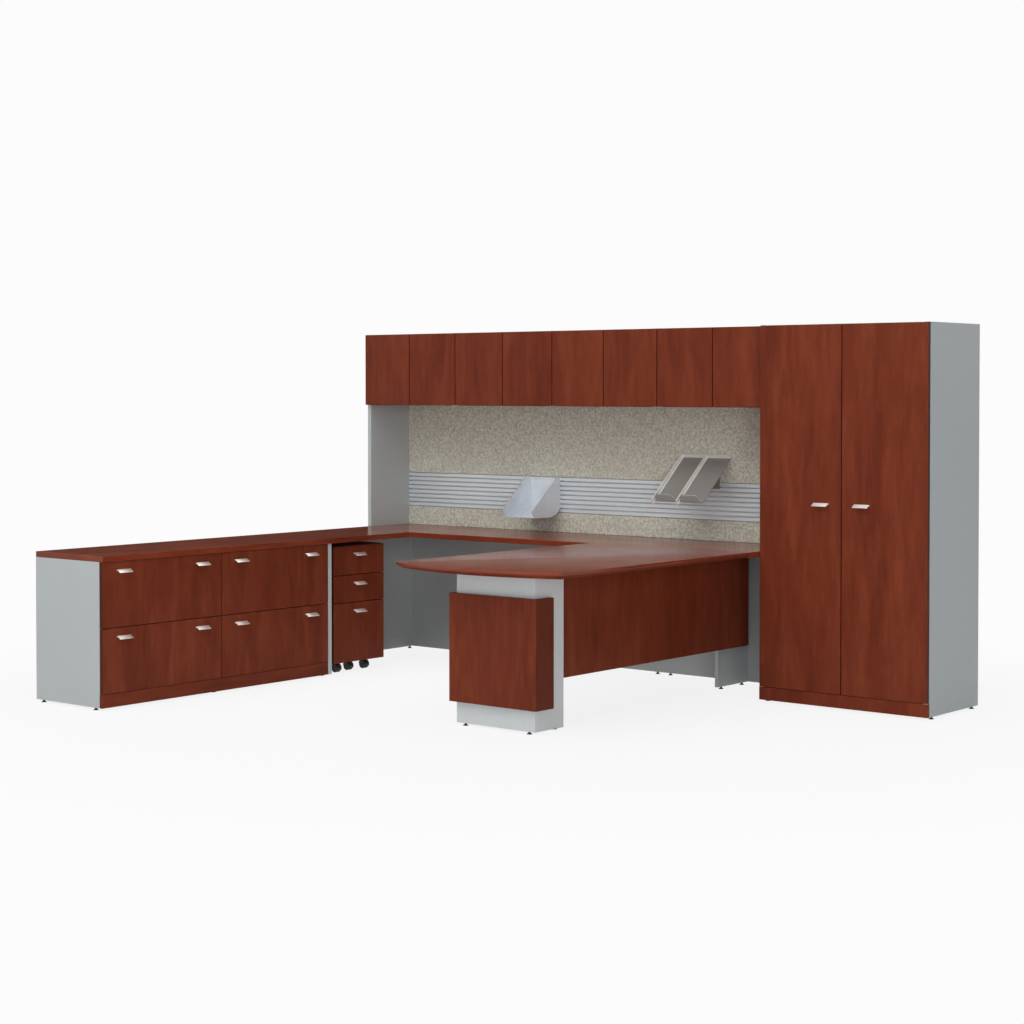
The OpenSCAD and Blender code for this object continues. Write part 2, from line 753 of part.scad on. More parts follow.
// Tall doors' pulls stand near the meeting edges and look along -Y
module tower_pull(k) color(nickel)
  translate([tower_mid_x + (k == 0 ? -tower_pull_off : tower_pull_off), y_tower_face,
             tower_pull_z])
    rotate([0, 0, -90]) pull_shape();

// One pivot plate, let in flush, from the door's face back over the cabinet's edge
module pivot_plate(x_edge, y_face, z, left_hung, length, grow) {
  x0 = left_hung ? x_edge : x_edge - pivot_plate_w;
  block([x0 - grow, y_face - grow, z - grow],
        [x0 + pivot_plate_w + grow, y_face + length + grow, z + pivot_plate_t + grow]);
}

// The pin of a plate, standing up into a door's foot or hanging into its head
module pivot_pin(x_edge, y_face, z, left_hung, up)
  post([left_hung ? x_edge + pivot_edge : x_edge - pivot_edge, y_face + pivot_face,
        up ? z + pivot_plate_t * half : z - pivot_pin_l],
       pivot_r, pivot_pin_l + pivot_plate_t * half);

// All plates, grown by the gap that their seats leave round them
module pivot_plates(grow) {
  for (k = [0 : bay_count - 1], z = [over_z, tower_h - pivot_plate_t])
    pivot_plate(over_edge(k), y_over_face, z, over_left_hung(k), pivot_plate_l, grow);
  for (k = [0 : pair - 1]) {
    pivot_plate(tower_door_x(k)[k], y_tower_face, tower_h - pivot_plate_t, k == 0,
                pivot_plate_l, grow);
    pivot_plate(tower_door_x(k)[k], y_tower_face, tower_plinth_z + joint_gap, k == 0,
                front_t, grow);
  }
}

module door_pivots() {
  pivot_plates(0);
  for (k = [0 : bay_count - 1]) {
    pivot_pin(over_edge(k), y_over_face, over_z, over_left_hung(k), true);
    pivot_pin(over_edge(k), y_over_face, tower_h - pivot_plate_t, over_left_hung(k), false);
  }
  for (k = [0 : pair - 1]) {
    pivot_pin(tower_door_x(k)[k], y_tower_face, tower_plinth_z + joint_gap, k == 0, true);
    pivot_pin(tower_door_x(k)[k], y_tower_face, tower_h - pivot_plate_t, k == 0, false);
  }
}

// Hidden metal of the fixed cabinets: drawer runners, door pivots and coat rod
module fixed_hardware() color(steel) {
  drawer_runners();
  door_pivots();
  coat_rod();
}

// An accessory's hook: an arm through a groove's mouth and a foot behind the slats' edges
module rail_hook(x_mid, groove) {
  z = rail_z + groove * slat_pitch;
  y0 = y_wall - run_gap + joint_gap;
  x0 = x_mid - hook_w * half;
  block([x0, y0, z - hook_t * half], [x0 + hook_w, y_wall + hook_in - joint_gap, z + hook_t * half]);
  block([x0, y_wall + hook_in, z - hook_foot_h * half],
        [x0 + hook_w, y_wall + hook_in + hook_foot_d, z + hook_foot_h * half]);
}

// Sloping tray: a bed with flanges on its left and upper edges, a lip along its lower edge, and
// a narrow bracket behind
module paper_tray(i) color(nickel) {
  x = x_tower - tray_x + i * (tray_w + tray_gap);
  rise = tray_high_z - tray_low_z;
  run = tray_out - run_gap;
  slope = atan2(rise, run);
  bed_l = norm([rise, run]);
  y_plate = y_wall - run_gap - sheet_t;
  z_groove = rail_z + tray_groove * slat_pitch;
  z_apex = tray_high_z - (sheet_t + joint_gap) * tan(slope) - joint_gap / cos(slope);
  translate([x, y_wall - tray_out, tray_low_z]) rotate([slope, 0, 0]) {
    block([0, 0, 0], [tray_w, bed_l, sheet_t]);
    block([0, -joint_gap - sheet_t, 0], [tray_w, -joint_gap, tray_lip]);
    block([0, 0, sheet_t + joint_gap], [sheet_t, bed_l, sheet_t + tray_flange]);
    block([sheet_t + joint_gap, bed_l - sheet_t, sheet_t + joint_gap],
          [tray_w, bed_l, sheet_t + tray_flange]);
  }
  x_bracket = x + bracket_in;
  z_bracket = min(z_groove, z_apex - gusset_drop) - bracket_drop;
  block([x_bracket, y_plate, z_bracket], [x_bracket + bracket_w, y_plate + sheet_t, z_apex]);
  for (xg = [x_bracket, x_bracket + bracket_w - gusset_t])
    along_x(xg, gusset_t, [
      [y_plate - joint_gap, z_apex],
      [y_plate - joint_gap - gusset_out, z_apex - gusset_out * tan(slope)],
      [y_plate - joint_gap, z_apex - gusset_drop]
    ]);
  rail_hook(x_bracket + bracket_w * half, tray_groove);
}

// Binder shelf: a floor, a sloping heel and a back plate between two cheeks with cut corners
module binder_shelf() color(silver) {
  x0 = x_tower - shelf_x;
  x1 = x0 + shelf_w;
  y0 = y_wall - run_gap;
  y_back_plate = y0 - sheet_t - joint_gap;
  z_floor = shelf_z + sheet_t;
  for (x = [x0, x1 - gusset_t])
    along_x(x, gusset_t, [
      [y0, shelf_z + shelf_h - shelf_crest_drop], [y0 - shelf_crest, shelf_z + shelf_h],
      [y0 - shelf_out, shelf_z + shelf_nose_h], [y0 - shelf_out + shelf_nose, shelf_z],
      [y0 - shelf_heel, shelf_z], [y0 - shelf_heel_in, shelf_z + shelf_heel_h],
      [y0, shelf_z + shelf_back_h]
    ]);
  in = [x0 + gusset_t + joint_gap, x1 - gusset_t - joint_gap];
  block([in[0], y0 - shelf_out + shelf_nose, z_floor],
        [in[1], y0 - shelf_heel - joint_gap, z_floor + sheet_t]);
  along_x(in[0], in[1] - in[0], [
    [y0 - shelf_heel, z_floor], [y_back_plate, shelf_z + shelf_back_h],
    [y_back_plate, shelf_z + shelf_back_h + sheet_t], [y0 - shelf_heel, z_floor + sheet_t]
  ]);
  block([in[0], y0 - sheet_t, shelf_z + shelf_back_h],
        [in[1], y0, shelf_z + shelf_h - shelf_crest_drop]);
  for (g = shelf_grooves) rail_hook((x0 + x1) * half, g);
}

left_top();
rear_top();
peninsula_top();
file_cases();
panel_legs();
back_panels();
peninsula_gable();
gable_jacket();
modesty_panel();
overhead_case();
tackboards();
slat_rail();
tower_case();
tower_fittings();
fixed_hardware();
levelling_glides();
file_front(0, 1);  // file_1_upper_front
file_box(0, 1);  // file_1_upper_box
file_pulls(0, 1);  // file_1_upper_pulls
file_front(0, 0);  // file_1_lower_front
file_box(0, 0);  // file_1_lower_box
file_pulls(0, 0);  // file_1_lower_pulls
file_front(1, 1);  // file_2_upper_front
file_box(1, 1);  // file_2_upper_box
file_pulls(1, 1);  // file_2_upper_pulls
file_front(1, 0);  // file_2_lower_front
file_box(1, 0);  // file_2_lower_box
file_pulls(1, 0);  // file_2_lower_pulls
pedestal_case();
ped_drawer(2);  // pencil_drawer
ped_pull(2);  // pencil_drawer_pull
ped_drawer(1);  // box_drawer
ped_pull(1);  // box_drawer_pull
ped_drawer(0);  // file_drawer
ped_pull(0);  // file_drawer_pull
caster_fork(0);  // caster_fork_1
caster_wheels(0);  // caster_wheels_1
caster_fork(1);  // caster_fork_2
caster_wheels(1);  // caster_wheels_2
caster_fork(2);  // caster_fork_3
caster_wheels(2);  // caster_wheels_3
caster_fork(3);  // caster_fork_4
caster_wheels(3);  // caster_wheels_4
caster_fork(4);  // caster_fork_5
caster_wheels(4);  // caster_wheels_5
tower_door(0);  // tower_door_left
tower_pull(0);  // tower_pull_left
tower_door(1);  // tower_door_right
tower_pull(1);  // tower_pull_right
overhead_door(0);  // overhead_door_1
overhead_door(1);  // overhead_door_2
overhead_door(2);  // overhead_door_3
overhead_door(3);  // overhead_door_4
overhead_door(4);  // overhead_door_5
overhead_door(5);  // overhead_door_6
overhead_door(6);  // overhead_door_7
overhead_door(7);  // overhead_door_8
paper_tray(0);  // paper_tray_left
paper_tray(1);  // paper_tray_right
binder_shelf();
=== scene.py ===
import math

import bmesh
import bpy
import numpy as np
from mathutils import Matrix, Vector


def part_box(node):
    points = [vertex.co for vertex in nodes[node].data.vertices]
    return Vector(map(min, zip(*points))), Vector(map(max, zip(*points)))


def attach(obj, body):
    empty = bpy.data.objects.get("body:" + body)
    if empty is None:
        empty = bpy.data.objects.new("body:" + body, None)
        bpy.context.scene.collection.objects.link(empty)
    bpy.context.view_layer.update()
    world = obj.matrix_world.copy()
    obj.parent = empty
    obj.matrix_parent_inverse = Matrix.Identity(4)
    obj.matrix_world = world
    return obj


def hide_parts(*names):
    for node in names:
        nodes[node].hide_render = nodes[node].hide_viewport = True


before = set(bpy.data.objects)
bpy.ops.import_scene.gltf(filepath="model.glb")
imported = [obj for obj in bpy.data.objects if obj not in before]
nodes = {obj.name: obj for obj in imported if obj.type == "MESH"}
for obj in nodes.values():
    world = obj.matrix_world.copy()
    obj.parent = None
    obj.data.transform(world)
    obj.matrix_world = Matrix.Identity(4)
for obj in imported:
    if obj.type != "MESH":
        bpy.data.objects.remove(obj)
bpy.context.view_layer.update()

print("frame loaded")


# Lowest and highest corner of a CAD piece at rest, which new pieces take their places from.
def nodeBox(name):
    return [np.array(corner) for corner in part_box(name)]


# Colours are given as screen values and turned into linear ones: below the knee the curve is a
# straight line, above it a power.
def linear(red, green, blue):
    knee, slope, offset, power, top = 0.04045, 12.92, 0.055, 2.4, 255.0
    made = []
    for level in (red / top, green / top, blue / top):
        made.append(level / slope if level <= knee else ((level + offset) / (1 + offset)) ** power)
    return (*made, 1.0)


# Inputs of a shader node: one that is a socket is linked, any other is set.
def setInputs(tree, node, inputs):
    for key, value in inputs.items():
        if isinstance(value, bpy.types.NodeSocket):
            tree.links.new(value, node.inputs[key])
        else:
            node.inputs[key].default_value = value


# One shader node with its settings and inputs.
def addNode(tree, kind, settings=None, inputs=None):
    made = tree.nodes.new(kind)
    for key, value in (settings or {}).items():
        setattr(made, key, value)
    setInputs(tree, made, inputs or {})
    return made


def addMath(tree, operation, first, second=0.0, clamp=False):
    settings = {"operation": operation, "use_clamp": clamp}
    return addNode(tree, "ShaderNodeMath", settings, {0: first, 1: second}).outputs[0]


# Sum of two numbers, each times its own share.
def addShares(tree, first, firstShare, second, secondShare):
    return addMath(tree, "ADD", addMath(tree, "MULTIPLY", first, firstShare),
                   addMath(tree, "MULTIPLY", second, secondShare))


# A colour or number between two others, by a share from 0 to 1.
def mixColours(tree, share, first, second):
    return addNode(tree, "ShaderNodeMix", {"data_type": "RGBA"},
                   {0: share, 6: first, 7: second}).outputs[2]


def mixNumbers(tree, share, first, second):
    return addNode(tree, "ShaderNodeMix", None, {0: share, 2: first, 3: second}).outputs[0]


# A value carried from one range to another and held inside it.
def mapRange(tree, value, start, end, low, high):
    return addNode(tree, "ShaderNodeMapRange", {"clamp": True},
                   {0: value, 1: start, 2: end, 3: low, 4: high}).outputs[0]


# The levels between which most of a noise lies, spread over a range of its own.
noiseLow, noiseHigh = 0.3, 0.7


def spreadNoise(tree, noise, low, high):
    return mapRange(tree, noise, noiseLow, noiseHigh, low, high)


# A colour made lighter or darker by a factor.
def scaleColour(tree, colour, factor):
    return addNode(tree, "ShaderNodeVectorMath", {"operation": "SCALE"},
                   {0: colour, "Scale": factor}).outputs[0]


def placeGroup(tree, group, inputs):
    return addNode(tree, "ShaderNodeGroup", {"node_tree": group}, inputs).outputs


# A colour ramp of three tones, which lie at three places of the factor.
def addTones(tree, factor, values):
    made = addNode(tree, "ShaderNodeValToRGB", None, {0: factor})
    ramp = made.color_ramp
    ramp.elements.new(values["stops"][1])
    tones = (values["dark"], values["mid"], values["light"])
    for element, position, colour in zip(ramp.elements, values["stops"], tones):
        element.position = position
        element.color = colour
    return made.outputs[0]


def addNoise(tree, vector, scale, detail, roughness=0.5, distortion=0.0):
    inputs = {"Vector": vector, "Scale": scale, "Detail": detail, "Roughness": roughness,
              "Distortion": distortion}
    return addNode(tree, "ShaderNodeTexNoise", None, inputs).outputs[0]


# A node group with named inputs and outputs; build fills it and returns its output sockets.
def addGroup(name, inputs, outputs, build):
    tree = bpy.data.node_groups.new(name, "ShaderNodeTree")
    for title, kind, value in inputs:
        made = tree.interface.new_socket(title, in_out="INPUT", socket_type=kind)
        if value is not None:
            made.default_value = value
    for title, kind in outputs:
        tree.interface.new_socket(title, in_out="OUTPUT", socket_type=kind)
    start = tree.nodes.new("NodeGroupInput")
    end = tree.nodes.new("NodeGroupOutput")
    for socket, target in zip(build(tree, start.outputs), end.inputs):
        tree.links.new(socket, target)
    return tree


# Wood figure: the position is squeezed along the grain, so that noise draws long marks. Two broad
# noises make the soft mottle of stained veneer, a narrow one the fibres, a finer one the pores.
grainValues = {"cloudShare": 0.62, "rippleShare": 0.38, "rippleTimes": 4.3, "bend": 0.8,
               "poreFrom": 0.6, "poreTo": 0.72}


def buildGrain(tree, start):
    def squeezed(key):
        along = addMath(tree, "MULTIPLY", start["Along"], start[key])
        vector = addNode(tree, "ShaderNodeCombineXYZ", None,
                         {0: along, 1: start["Across"], 2: start["Depth"]}).outputs[0]
        offset = addNode(tree, "ShaderNodeCombineXYZ", None,
                         {axis: start["Seed"] for axis in range(3)}).outputs[0]
        return addNode(tree, "ShaderNodeVectorMath", {"operation": "ADD"},
                       {0: vector, 1: offset}).outputs[0]

    values = grainValues
    broad, fine = squeezed("Mottle Stretch"), squeezed("Fibre Stretch")
    rippleScale = addMath(tree, "MULTIPLY", start["Mottle Scale"], values["rippleTimes"])
    cloud = addNoise(tree, broad, start["Mottle Scale"], detail=3.0, distortion=values["bend"])
    ripple = addNoise(tree, broad, rippleScale, detail=3.0, roughness=0.6)
    figure = addShares(tree, cloud, values["cloudShare"], ripple, values["rippleShare"])
    fibre = addNoise(tree, fine, start["Fibre Scale"], detail=4.0, roughness=0.65)
    pore = addNoise(tree, fine, start["Pore Scale"], detail=2.0)
    dark = mapRange(tree, pore, values["poreFrom"], values["poreTo"], 0.0, 1.0)
    return figure, fibre, dark


grainGroup = addGroup(
    "woodGrain",
    [("Along", "NodeSocketFloat", 0.0), ("Across", "NodeSocketFloat", 0.0),
     ("Depth", "NodeSocketFloat", 0.0), ("Seed", "NodeSocketFloat", 0.0),
     ("Mottle Stretch", "NodeSocketFloat", 0.2), ("Fibre Stretch", "NodeSocketFloat", 0.02),
     ("Mottle Scale", "NodeSocketFloat", 8.0), ("Fibre Scale", "NodeSocketFloat", 240.0),
     ("Pore Scale", "NodeSocketFloat", 900.0)],
    [("Figure", "NodeSocketFloat"), ("Fibre", "NodeSocketFloat"), ("Pores", "NodeSocketFloat")],
    buildGrain)


# Handling wear: broad noise for smudges and fine noise for dust, both from 0 to 1.
def buildWear(tree, start):
    smudge = addNoise(tree, start["Vector"], start["Smudge Scale"], detail=3.0, roughness=0.6)
    speck = addNoise(tree, start["Vector"], start["Speck Scale"], detail=2.0)
    return smudge, speck


wearGroup = addGroup(
    "surfaceWear",
    [("Vector", "NodeSocketVector", None), ("Smudge Scale", "NodeSocketFloat", 3.0),
     ("Speck Scale", "NodeSocketFloat", 400.0)],
    [("Smudge", "NodeSocketFloat"), ("Speck", "NodeSocketFloat")], buildWear)


# Object position, and the three parts of a vector.
def objectPosition(tree):
    return addNode(tree, "ShaderNodeTexCoord").outputs["Object"]


def splitVector(tree, vector):
    return addNode(tree, "ShaderNodeSeparateXYZ", None, {0: vector}).outputs


# The three parts of the normal in the object's own axes, without their signs.
def facing(tree):
    parts = splitVector(tree, addNode(tree, "ShaderNodeTexCoord").outputs["Normal"])
    return [addMath(tree, "ABSOLUTE", part) for part in parts]


def newMaterial(name):
    material = bpy.data.materials.new(name)
    material.use_nodes = True
    tree = material.node_tree
    return material, tree, tree.nodes["Principled BSDF"]


def addBump(tree, height, strength, distance):
    return addNode(tree, "ShaderNodeBump", None,
                   {"Height": height, "Strength": strength, "Distance": distance}).outputs[0]


# Stained cherry: three stain tones by the figure, fibres that vary them, and darker pores.
woodValues = {
    "dark": linear(96, 40, 23),
    "mid": linear(110, 48, 29),
    "light": linear(122, 57, 35),
    "stops": (0.34, 0.5, 0.66),
    "pore": linear(61, 25, 15),
    "poreShare": 0.3,
    "fibreShare": 0.15,
    "bumpStrength": 0.4, "bumpHeight": 0.00005,
    "roughLow": 0.4, "roughHigh": 0.5, "specular": 0.1,
    "turnAt": 0.7,
    # Edges are darkened by this share: partly a darker edge band, partly painted shade of the
    # gaps.
    "edgeShade": 0.4, "edgeFrom": 0.5, "edgeTo": 0.97,
}


# The grain runs along one axis, and on faces across that axis it turns to the next one, so that no
# face shows a cut through the noise. The edges of a board are darker than its face, partly as a
# darker edge band and partly as painted shade of the gaps between fronts, so faceAxis names the
# way that the board's face looks; a board without one keeps one tone all over.
def makeWood(name, grainAxis, seed, values, faceAxis=None):
    material, tree, shader = newMaterial(name)
    vector = objectPosition(tree)
    parts = splitVector(tree, vector)
    lengthwise, crosswise, through = {"x": (0, 1, 2), "y": (1, 0, 2), "z": (2, 0, 1)}[grainAxis]
    facings = facing(tree)
    turned = addMath(tree, "GREATER_THAN", facings[lengthwise], values["turnAt"])
    along = mixNumbers(tree, turned, parts[lengthwise], parts[crosswise])
    across = mixNumbers(tree, turned, parts[crosswise], parts[lengthwise])
    grain = placeGroup(tree, grainGroup, {"Along": along, "Across": across,
                                          "Depth": parts[through], "Seed": seed})
    wear = placeGroup(tree, wearGroup, {"Vector": vector})
    fibre = addMath(tree, "MULTIPLY", addMath(tree, "SUBTRACT", grain["Fibre"], 0.5),
                    values["fibreShare"])
    stain = addTones(tree, addMath(tree, "ADD", grain["Figure"], fibre, True), values)
    colour = mixColours(tree, addMath(tree, "MULTIPLY", grain["Pores"], values["poreShare"]),
                        stain, values["pore"])
    # Faces across the board's face are darkened: a darker edge band, and painted shade of the
    # gaps.
    if faceAxis is not None:
        band = mapRange(tree, facings["xyz".index(faceAxis)], values["edgeFrom"],
                        values["edgeTo"], values["edgeShade"], 1.0)
        colour = scaleColour(tree, colour, band)
    height = addMath(tree, "SUBTRACT", grain["Fibre"], grain["Pores"])
    setInputs(tree, shader, {
        "Base Color": colour, "Specular IOR Level": values["specular"],
        "Roughness": spreadNoise(tree, wear["Smudge"], values["roughLow"], values["roughHigh"]),
        "Normal": addBump(tree, height, values["bumpStrength"], values["bumpHeight"])})
    return material


topValues = {**woodValues, "dark": linear(110, 44, 26), "mid": linear(124, 54, 33),
             "light": linear(138, 64, 40), "roughLow": 0.14, "roughHigh": 0.22, "specular": 0.2,
             "bumpHeight": 0.00002}

# Each wood has the axis of its grain and a seed, which moves it to another part of the noise.
frontSeeds = (0.0, 3.7, 8.1, 12.6)
doorWoods = [makeWood("cherryDoor" + str(index), "z", seed, woodValues, "y")
             for index, seed in enumerate(frontSeeds)]
drawerWoods = [makeWood("cherryDrawer" + str(index), "z", seed, woodValues, "x")
               for index, seed in enumerate(frontSeeds)]
caseWood = makeWood("cherryCase", "z", 6.4, woodValues)
# The jacket's side and edges are a quarter darker than its front: painted shade on the side.
jacketWoodShadedSide = makeWood("cherryJacket", "z", 7.3, {**woodValues, "edgeShade": 0.75}, "y")
modestyWood = makeWood("cherryModesty", "z", 9.9, woodValues)
plinthWood = makeWood("cherryPlinth", "y", 5.2, woodValues)
leftTopWood = makeWood("cherryLeftTop", "y", 1.3, topValues)
rearTopWood = makeWood("cherryRearTop", "x", 2.9, topValues)
bevelWood = makeWood("cherryBevel", "y", 1.3, {**woodValues, "specular": 0.03, "roughLow": 0.6,
                                               "roughHigh": 0.7})


# Silver laminate: a pale grey with soft clouding and fine metallic flecks.
silverValues = {
    "low": linear(178, 183, 184),
    "high": linear(187, 192, 193),
    "fleck": linear(200, 205, 206),
    "smudgeScale": 2.2, "speckScale": 900.0,
    "fleckFrom": 0.58, "fleckTo": 0.7, "fleckShare": 0.25,
    "roughLow": 0.42, "roughHigh": 0.52, "metal": 0.1,
    "bumpStrength": 0.2, "bumpHeight": 0.00002,
}


def makeSilver(name, values):
    material, tree, shader = newMaterial(name)
    vector = objectPosition(tree)
    wear = placeGroup(tree, wearGroup, {"Vector": vector, "Smudge Scale": values["smudgeScale"],
                                        "Speck Scale": values["speckScale"]})
    cloud = mixColours(tree, wear["Smudge"], values["low"], values["high"])
    flecks = mapRange(tree, wear["Speck"], values["fleckFrom"], values["fleckTo"], 0.0,
                      values["fleckShare"])
    setInputs(tree, shader, {
        "Base Color": mixColours(tree, flecks, cloud, values["fleck"]),
        "Roughness": spreadNoise(tree, wear["Smudge"], values["roughLow"], values["roughHigh"]),
        "Metallic": values["metal"],
        "Normal": addBump(tree, wear["Speck"], values["bumpStrength"], values["bumpHeight"])})
    return material


# The box leg's copy of the laminate is lighter, as painted light from the floor on its low front,
# and the tall cabinet's copy is darker, as painted shade on its side that faces away from the
# lamps.
gableLitValues = {**silverValues, "low": linear(196, 201, 202), "high": linear(206, 211, 212),
               "fleck": linear(219, 224, 225)}
towerShadedValues = {**silverValues, "low": linear(167, 173, 175), "high": linear(175, 181, 184),
               "fleck": linear(188, 194, 197)}
silver = makeSilver("silverLaminate", silverValues)
gableLitSilver = makeSilver("silverGable", gableLitValues)
towerShadedSilver = makeSilver("silverTower", towerShadedValues)


# Tackboard cloth: a tight plain weave of two crossing sine bands, with yarns that vary in
# tone and scattered light and dark slubs.
clothValues = {
    "dark": linear(160, 159, 146),
    "mid": linear(206, 206, 191),
    "light": linear(241, 242, 229),
    "stops": (0.3, 0.5, 0.7),
    "yarnPitch": 0.0016, "weaveShare": 0.5,
    "slubScale": 92.0, "slubShare": 0.7,
    "heatherScale": 420.0, "heatherShare": 0.3,
    "rough": 0.92, "sheen": 0.15, "specular": 0.2,
    "bumpStrength": 0.6, "bumpHeight": 0.0004,
}


def makeCloth(name, values):
    material, tree, shader = newMaterial(name)
    vector = objectPosition(tree)
    parts = splitVector(tree, vector)
    turns = 2 * math.pi / values["yarnPitch"]
    weft = addMath(tree, "SINE", addMath(tree, "MULTIPLY", parts[0], turns))
    warp = addMath(tree, "SINE", addMath(tree, "MULTIPLY", parts[2], turns))
    weave = addMath(tree, "MULTIPLY", weft, warp)
    slub = addNoise(tree, vector, values["slubScale"], detail=2.0, roughness=0.6)
    heather = addNoise(tree, vector, values["heatherScale"], detail=2.0, roughness=0.6)
    share = addShares(tree, slub, values["slubShare"], heather, values["heatherShare"])
    height = addMath(tree, "ADD", addMath(tree, "MULTIPLY", weave, values["weaveShare"]), slub)
    setInputs(tree, shader, {
        "Base Color": addTones(tree, share, values), "Roughness": values["rough"],
        "Sheen Weight": values["sheen"], "Specular IOR Level": values["specular"],
        "Normal": addBump(tree, height, values["bumpStrength"], values["bumpHeight"])})
    return material


cloth = makeCloth("tackCloth", clothValues)


# Brushed metal: noise drawn out along one axis scratches the roughness and the surface.
brushedValues = {"scratchScale": 900.0, "lengthScale": 12.0, "toneLow": 0.9, "toneHigh": 1.06,
                 "scratchRough": 0.18, "smudgeRough": 0.06, "roughBelow": 0.12,
                 "bumpStrength": 0.15, "bumpHeight": 0.00003}


def makeBrushed(name, colour, brushAxis, roughness, metallic, values=brushedValues):
    material, tree, shader = newMaterial(name)
    vector = objectPosition(tree)
    scale = [values["scratchScale"]] * 3
    scale["xyz".index(brushAxis)] = values["lengthScale"]
    stretched = addNode(tree, "ShaderNodeVectorMath", {"operation": "MULTIPLY"},
                        {0: vector, 1: scale}).outputs[0]
    scratch = addNoise(tree, stretched, scale=1.0, detail=3.0, roughness=0.6)
    wear = placeGroup(tree, wearGroup, {"Vector": vector})
    tone = spreadNoise(tree, scratch, values["toneLow"], values["toneHigh"])
    rough = addShares(tree, scratch, values["scratchRough"], wear["Smudge"],
                      values["smudgeRough"])
    setInputs(tree, shader, {
        "Base Color": scaleColour(tree, colour[:3], tone), "Metallic": metallic,
        "Roughness": addMath(tree, "ADD", rough, roughness - values["roughBelow"]),
        "Normal": addBump(tree, scratch, values["bumpStrength"], values["bumpHeight"])})
    return material


# Each has its colour, the axis that it is brushed along, its roughness and its share of metal.
nickel = makeBrushed("brushedNickel", linear(236, 231, 222), "y", 0.34, 0.6)
# The tall doors' pulls take a lighter copy of the nickel: painted light, so their tabs read
# bright.
nickelAcrossLit = makeBrushed("brushedNickelAcross", linear(244, 241, 236), "x", 0.36, 0.35)
railMetal = makeBrushed("anodisedRail", linear(218, 226, 229), "x", 0.4, 0.2)
steel = makeBrushed("runnerSteel", linear(150, 152, 155), "x", 0.35, 0.8)


# Painted or moulded stuff: one colour with a fine orange-peel surface and patchy gloss.
paintedValues = {"smudgeScale": 9.0, "toneLow": 0.92, "toneHigh": 1.06, "smudgeRough": 0.12,
                 "roughBelow": 0.06, "bumpStrength": 0.3}


def makePainted(name, colour, roughness, peelScale, bumpHeight, metallic=0.0,
                values=paintedValues):
    material, tree, shader = newMaterial(name)
    vector = objectPosition(tree)
    wear = placeGroup(tree, wearGroup, {"Vector": vector, "Smudge Scale": values["smudgeScale"],
                                        "Speck Scale": peelScale})
    tone = spreadNoise(tree, wear["Smudge"], values["toneLow"], values["toneHigh"])
    rough = addMath(tree, "ADD", addMath(tree, "MULTIPLY", wear["Smudge"], values["smudgeRough"]),
                    roughness - values["roughBelow"])
    setInputs(tree, shader, {
        "Base Color": scaleColour(tree, colour[:3], tone), "Roughness": rough,
        "Metallic": metallic,
        "Normal": addBump(tree, wear["Speck"], values["bumpStrength"], bumpHeight)})
    return material


# Each has its colour, its roughness, the scale and height of its peel, and some a share of metal.
blackPlastic = makePainted("blackNylon", linear(30, 30, 32), 0.5, 1200.0, 0.00004)
shelfPaint = makePainted("shelfPaint", linear(222, 227, 234), 0.38, 1500.0, 0.00002, 0.15)
trayBed = makePainted("trayBed", linear(140, 137, 132), 0.5, 1500.0, 0.00002, 0.1)
# The lip is the bed's own sheet, painted lighter and bluer: painted light on its shaded face.
trayLip = makePainted("trayLip", linear(186, 206, 209), 0.45, 1500.0, 0.00002)
trayRim = makePainted("trayRim", linear(246, 243, 236), 0.4, 1500.0, 0.00002)
boxBoard = makePainted("drawerBoard", linear(196, 190, 178), 0.6, 700.0, 0.00005)
print("materials made")


# Every board takes a weld, because its faces come unjoined, and a fine bevel on its edges.
bevelValues = {"board": 0.0009, "front": 0.0018, "top": 0.0022, "metal": 0.0005, "thin": 0.0004,
               "weld": 0.00002, "segments": 3, "fromAngle": 40}


def soften(item, width):
    weld = item.modifiers.new("weld", "WELD")
    weld.merge_threshold = bevelValues["weld"]
    bevel = item.modifiers.new("bevel", "BEVEL")
    bevel.width = width
    bevel.segments = bevelValues["segments"]
    bevel.limit_method = "ANGLE"
    bevel.angle_limit = math.radians(bevelValues["fromAngle"])
    bevel.harden_normals = True


def dress(names, material, width):
    for name in names:
        item = nodes[name]
        item.data.materials.clear()
        item.data.materials.append(material)
        if width:
            soften(item, width)


# Doors and drawer fronts go through the woods in steps of three, so that neighbours differ.
doorNames = [n for n in nodes if n.startswith("overhead_door") or n.startswith("tower_door")]
drawerNames = [n for n in nodes if n.endswith("_front") or n.endswith("_drawer")]
woodStep = 3
for names, woods in ((doorNames, doorWoods), (drawerNames, drawerWoods)):
    for index, name in enumerate(sorted(names)):
        dress([name], woods[(index * woodStep) % len(woods)], bevelValues["front"])
dress(["overhead_case", "tower_fittings", "pedestal_case"], caseWood, bevelValues["board"])
dress(["gable_jacket"], jacketWoodShadedSide, bevelValues["board"])
dress(["modesty_panel"], modestyWood, bevelValues["board"])
dress(["file_cases"], plinthWood, bevelValues["board"])
dress(["left_top"], leftTopWood, bevelValues["top"])
dress(["rear_top"], rearTopWood, bevelValues["top"])
dress(["panel_legs", "back_panels"], silver, bevelValues["board"])
dress(["peninsula_gable"], gableLitSilver, bevelValues["board"])
dress(["tower_case"], towerShadedSilver, bevelValues["board"])
dress(["tackboards"], cloth, bevelValues["top"])
dress(["slat_rail"], railMetal, bevelValues["metal"])
dress(["fixed_hardware"], steel, 0)
dress([n for n in nodes if n.endswith("_box")], boxBoard, bevelValues["metal"])
dress(["binder_shelf"], shelfPaint, bevelValues["thin"])
print("boards dressed")


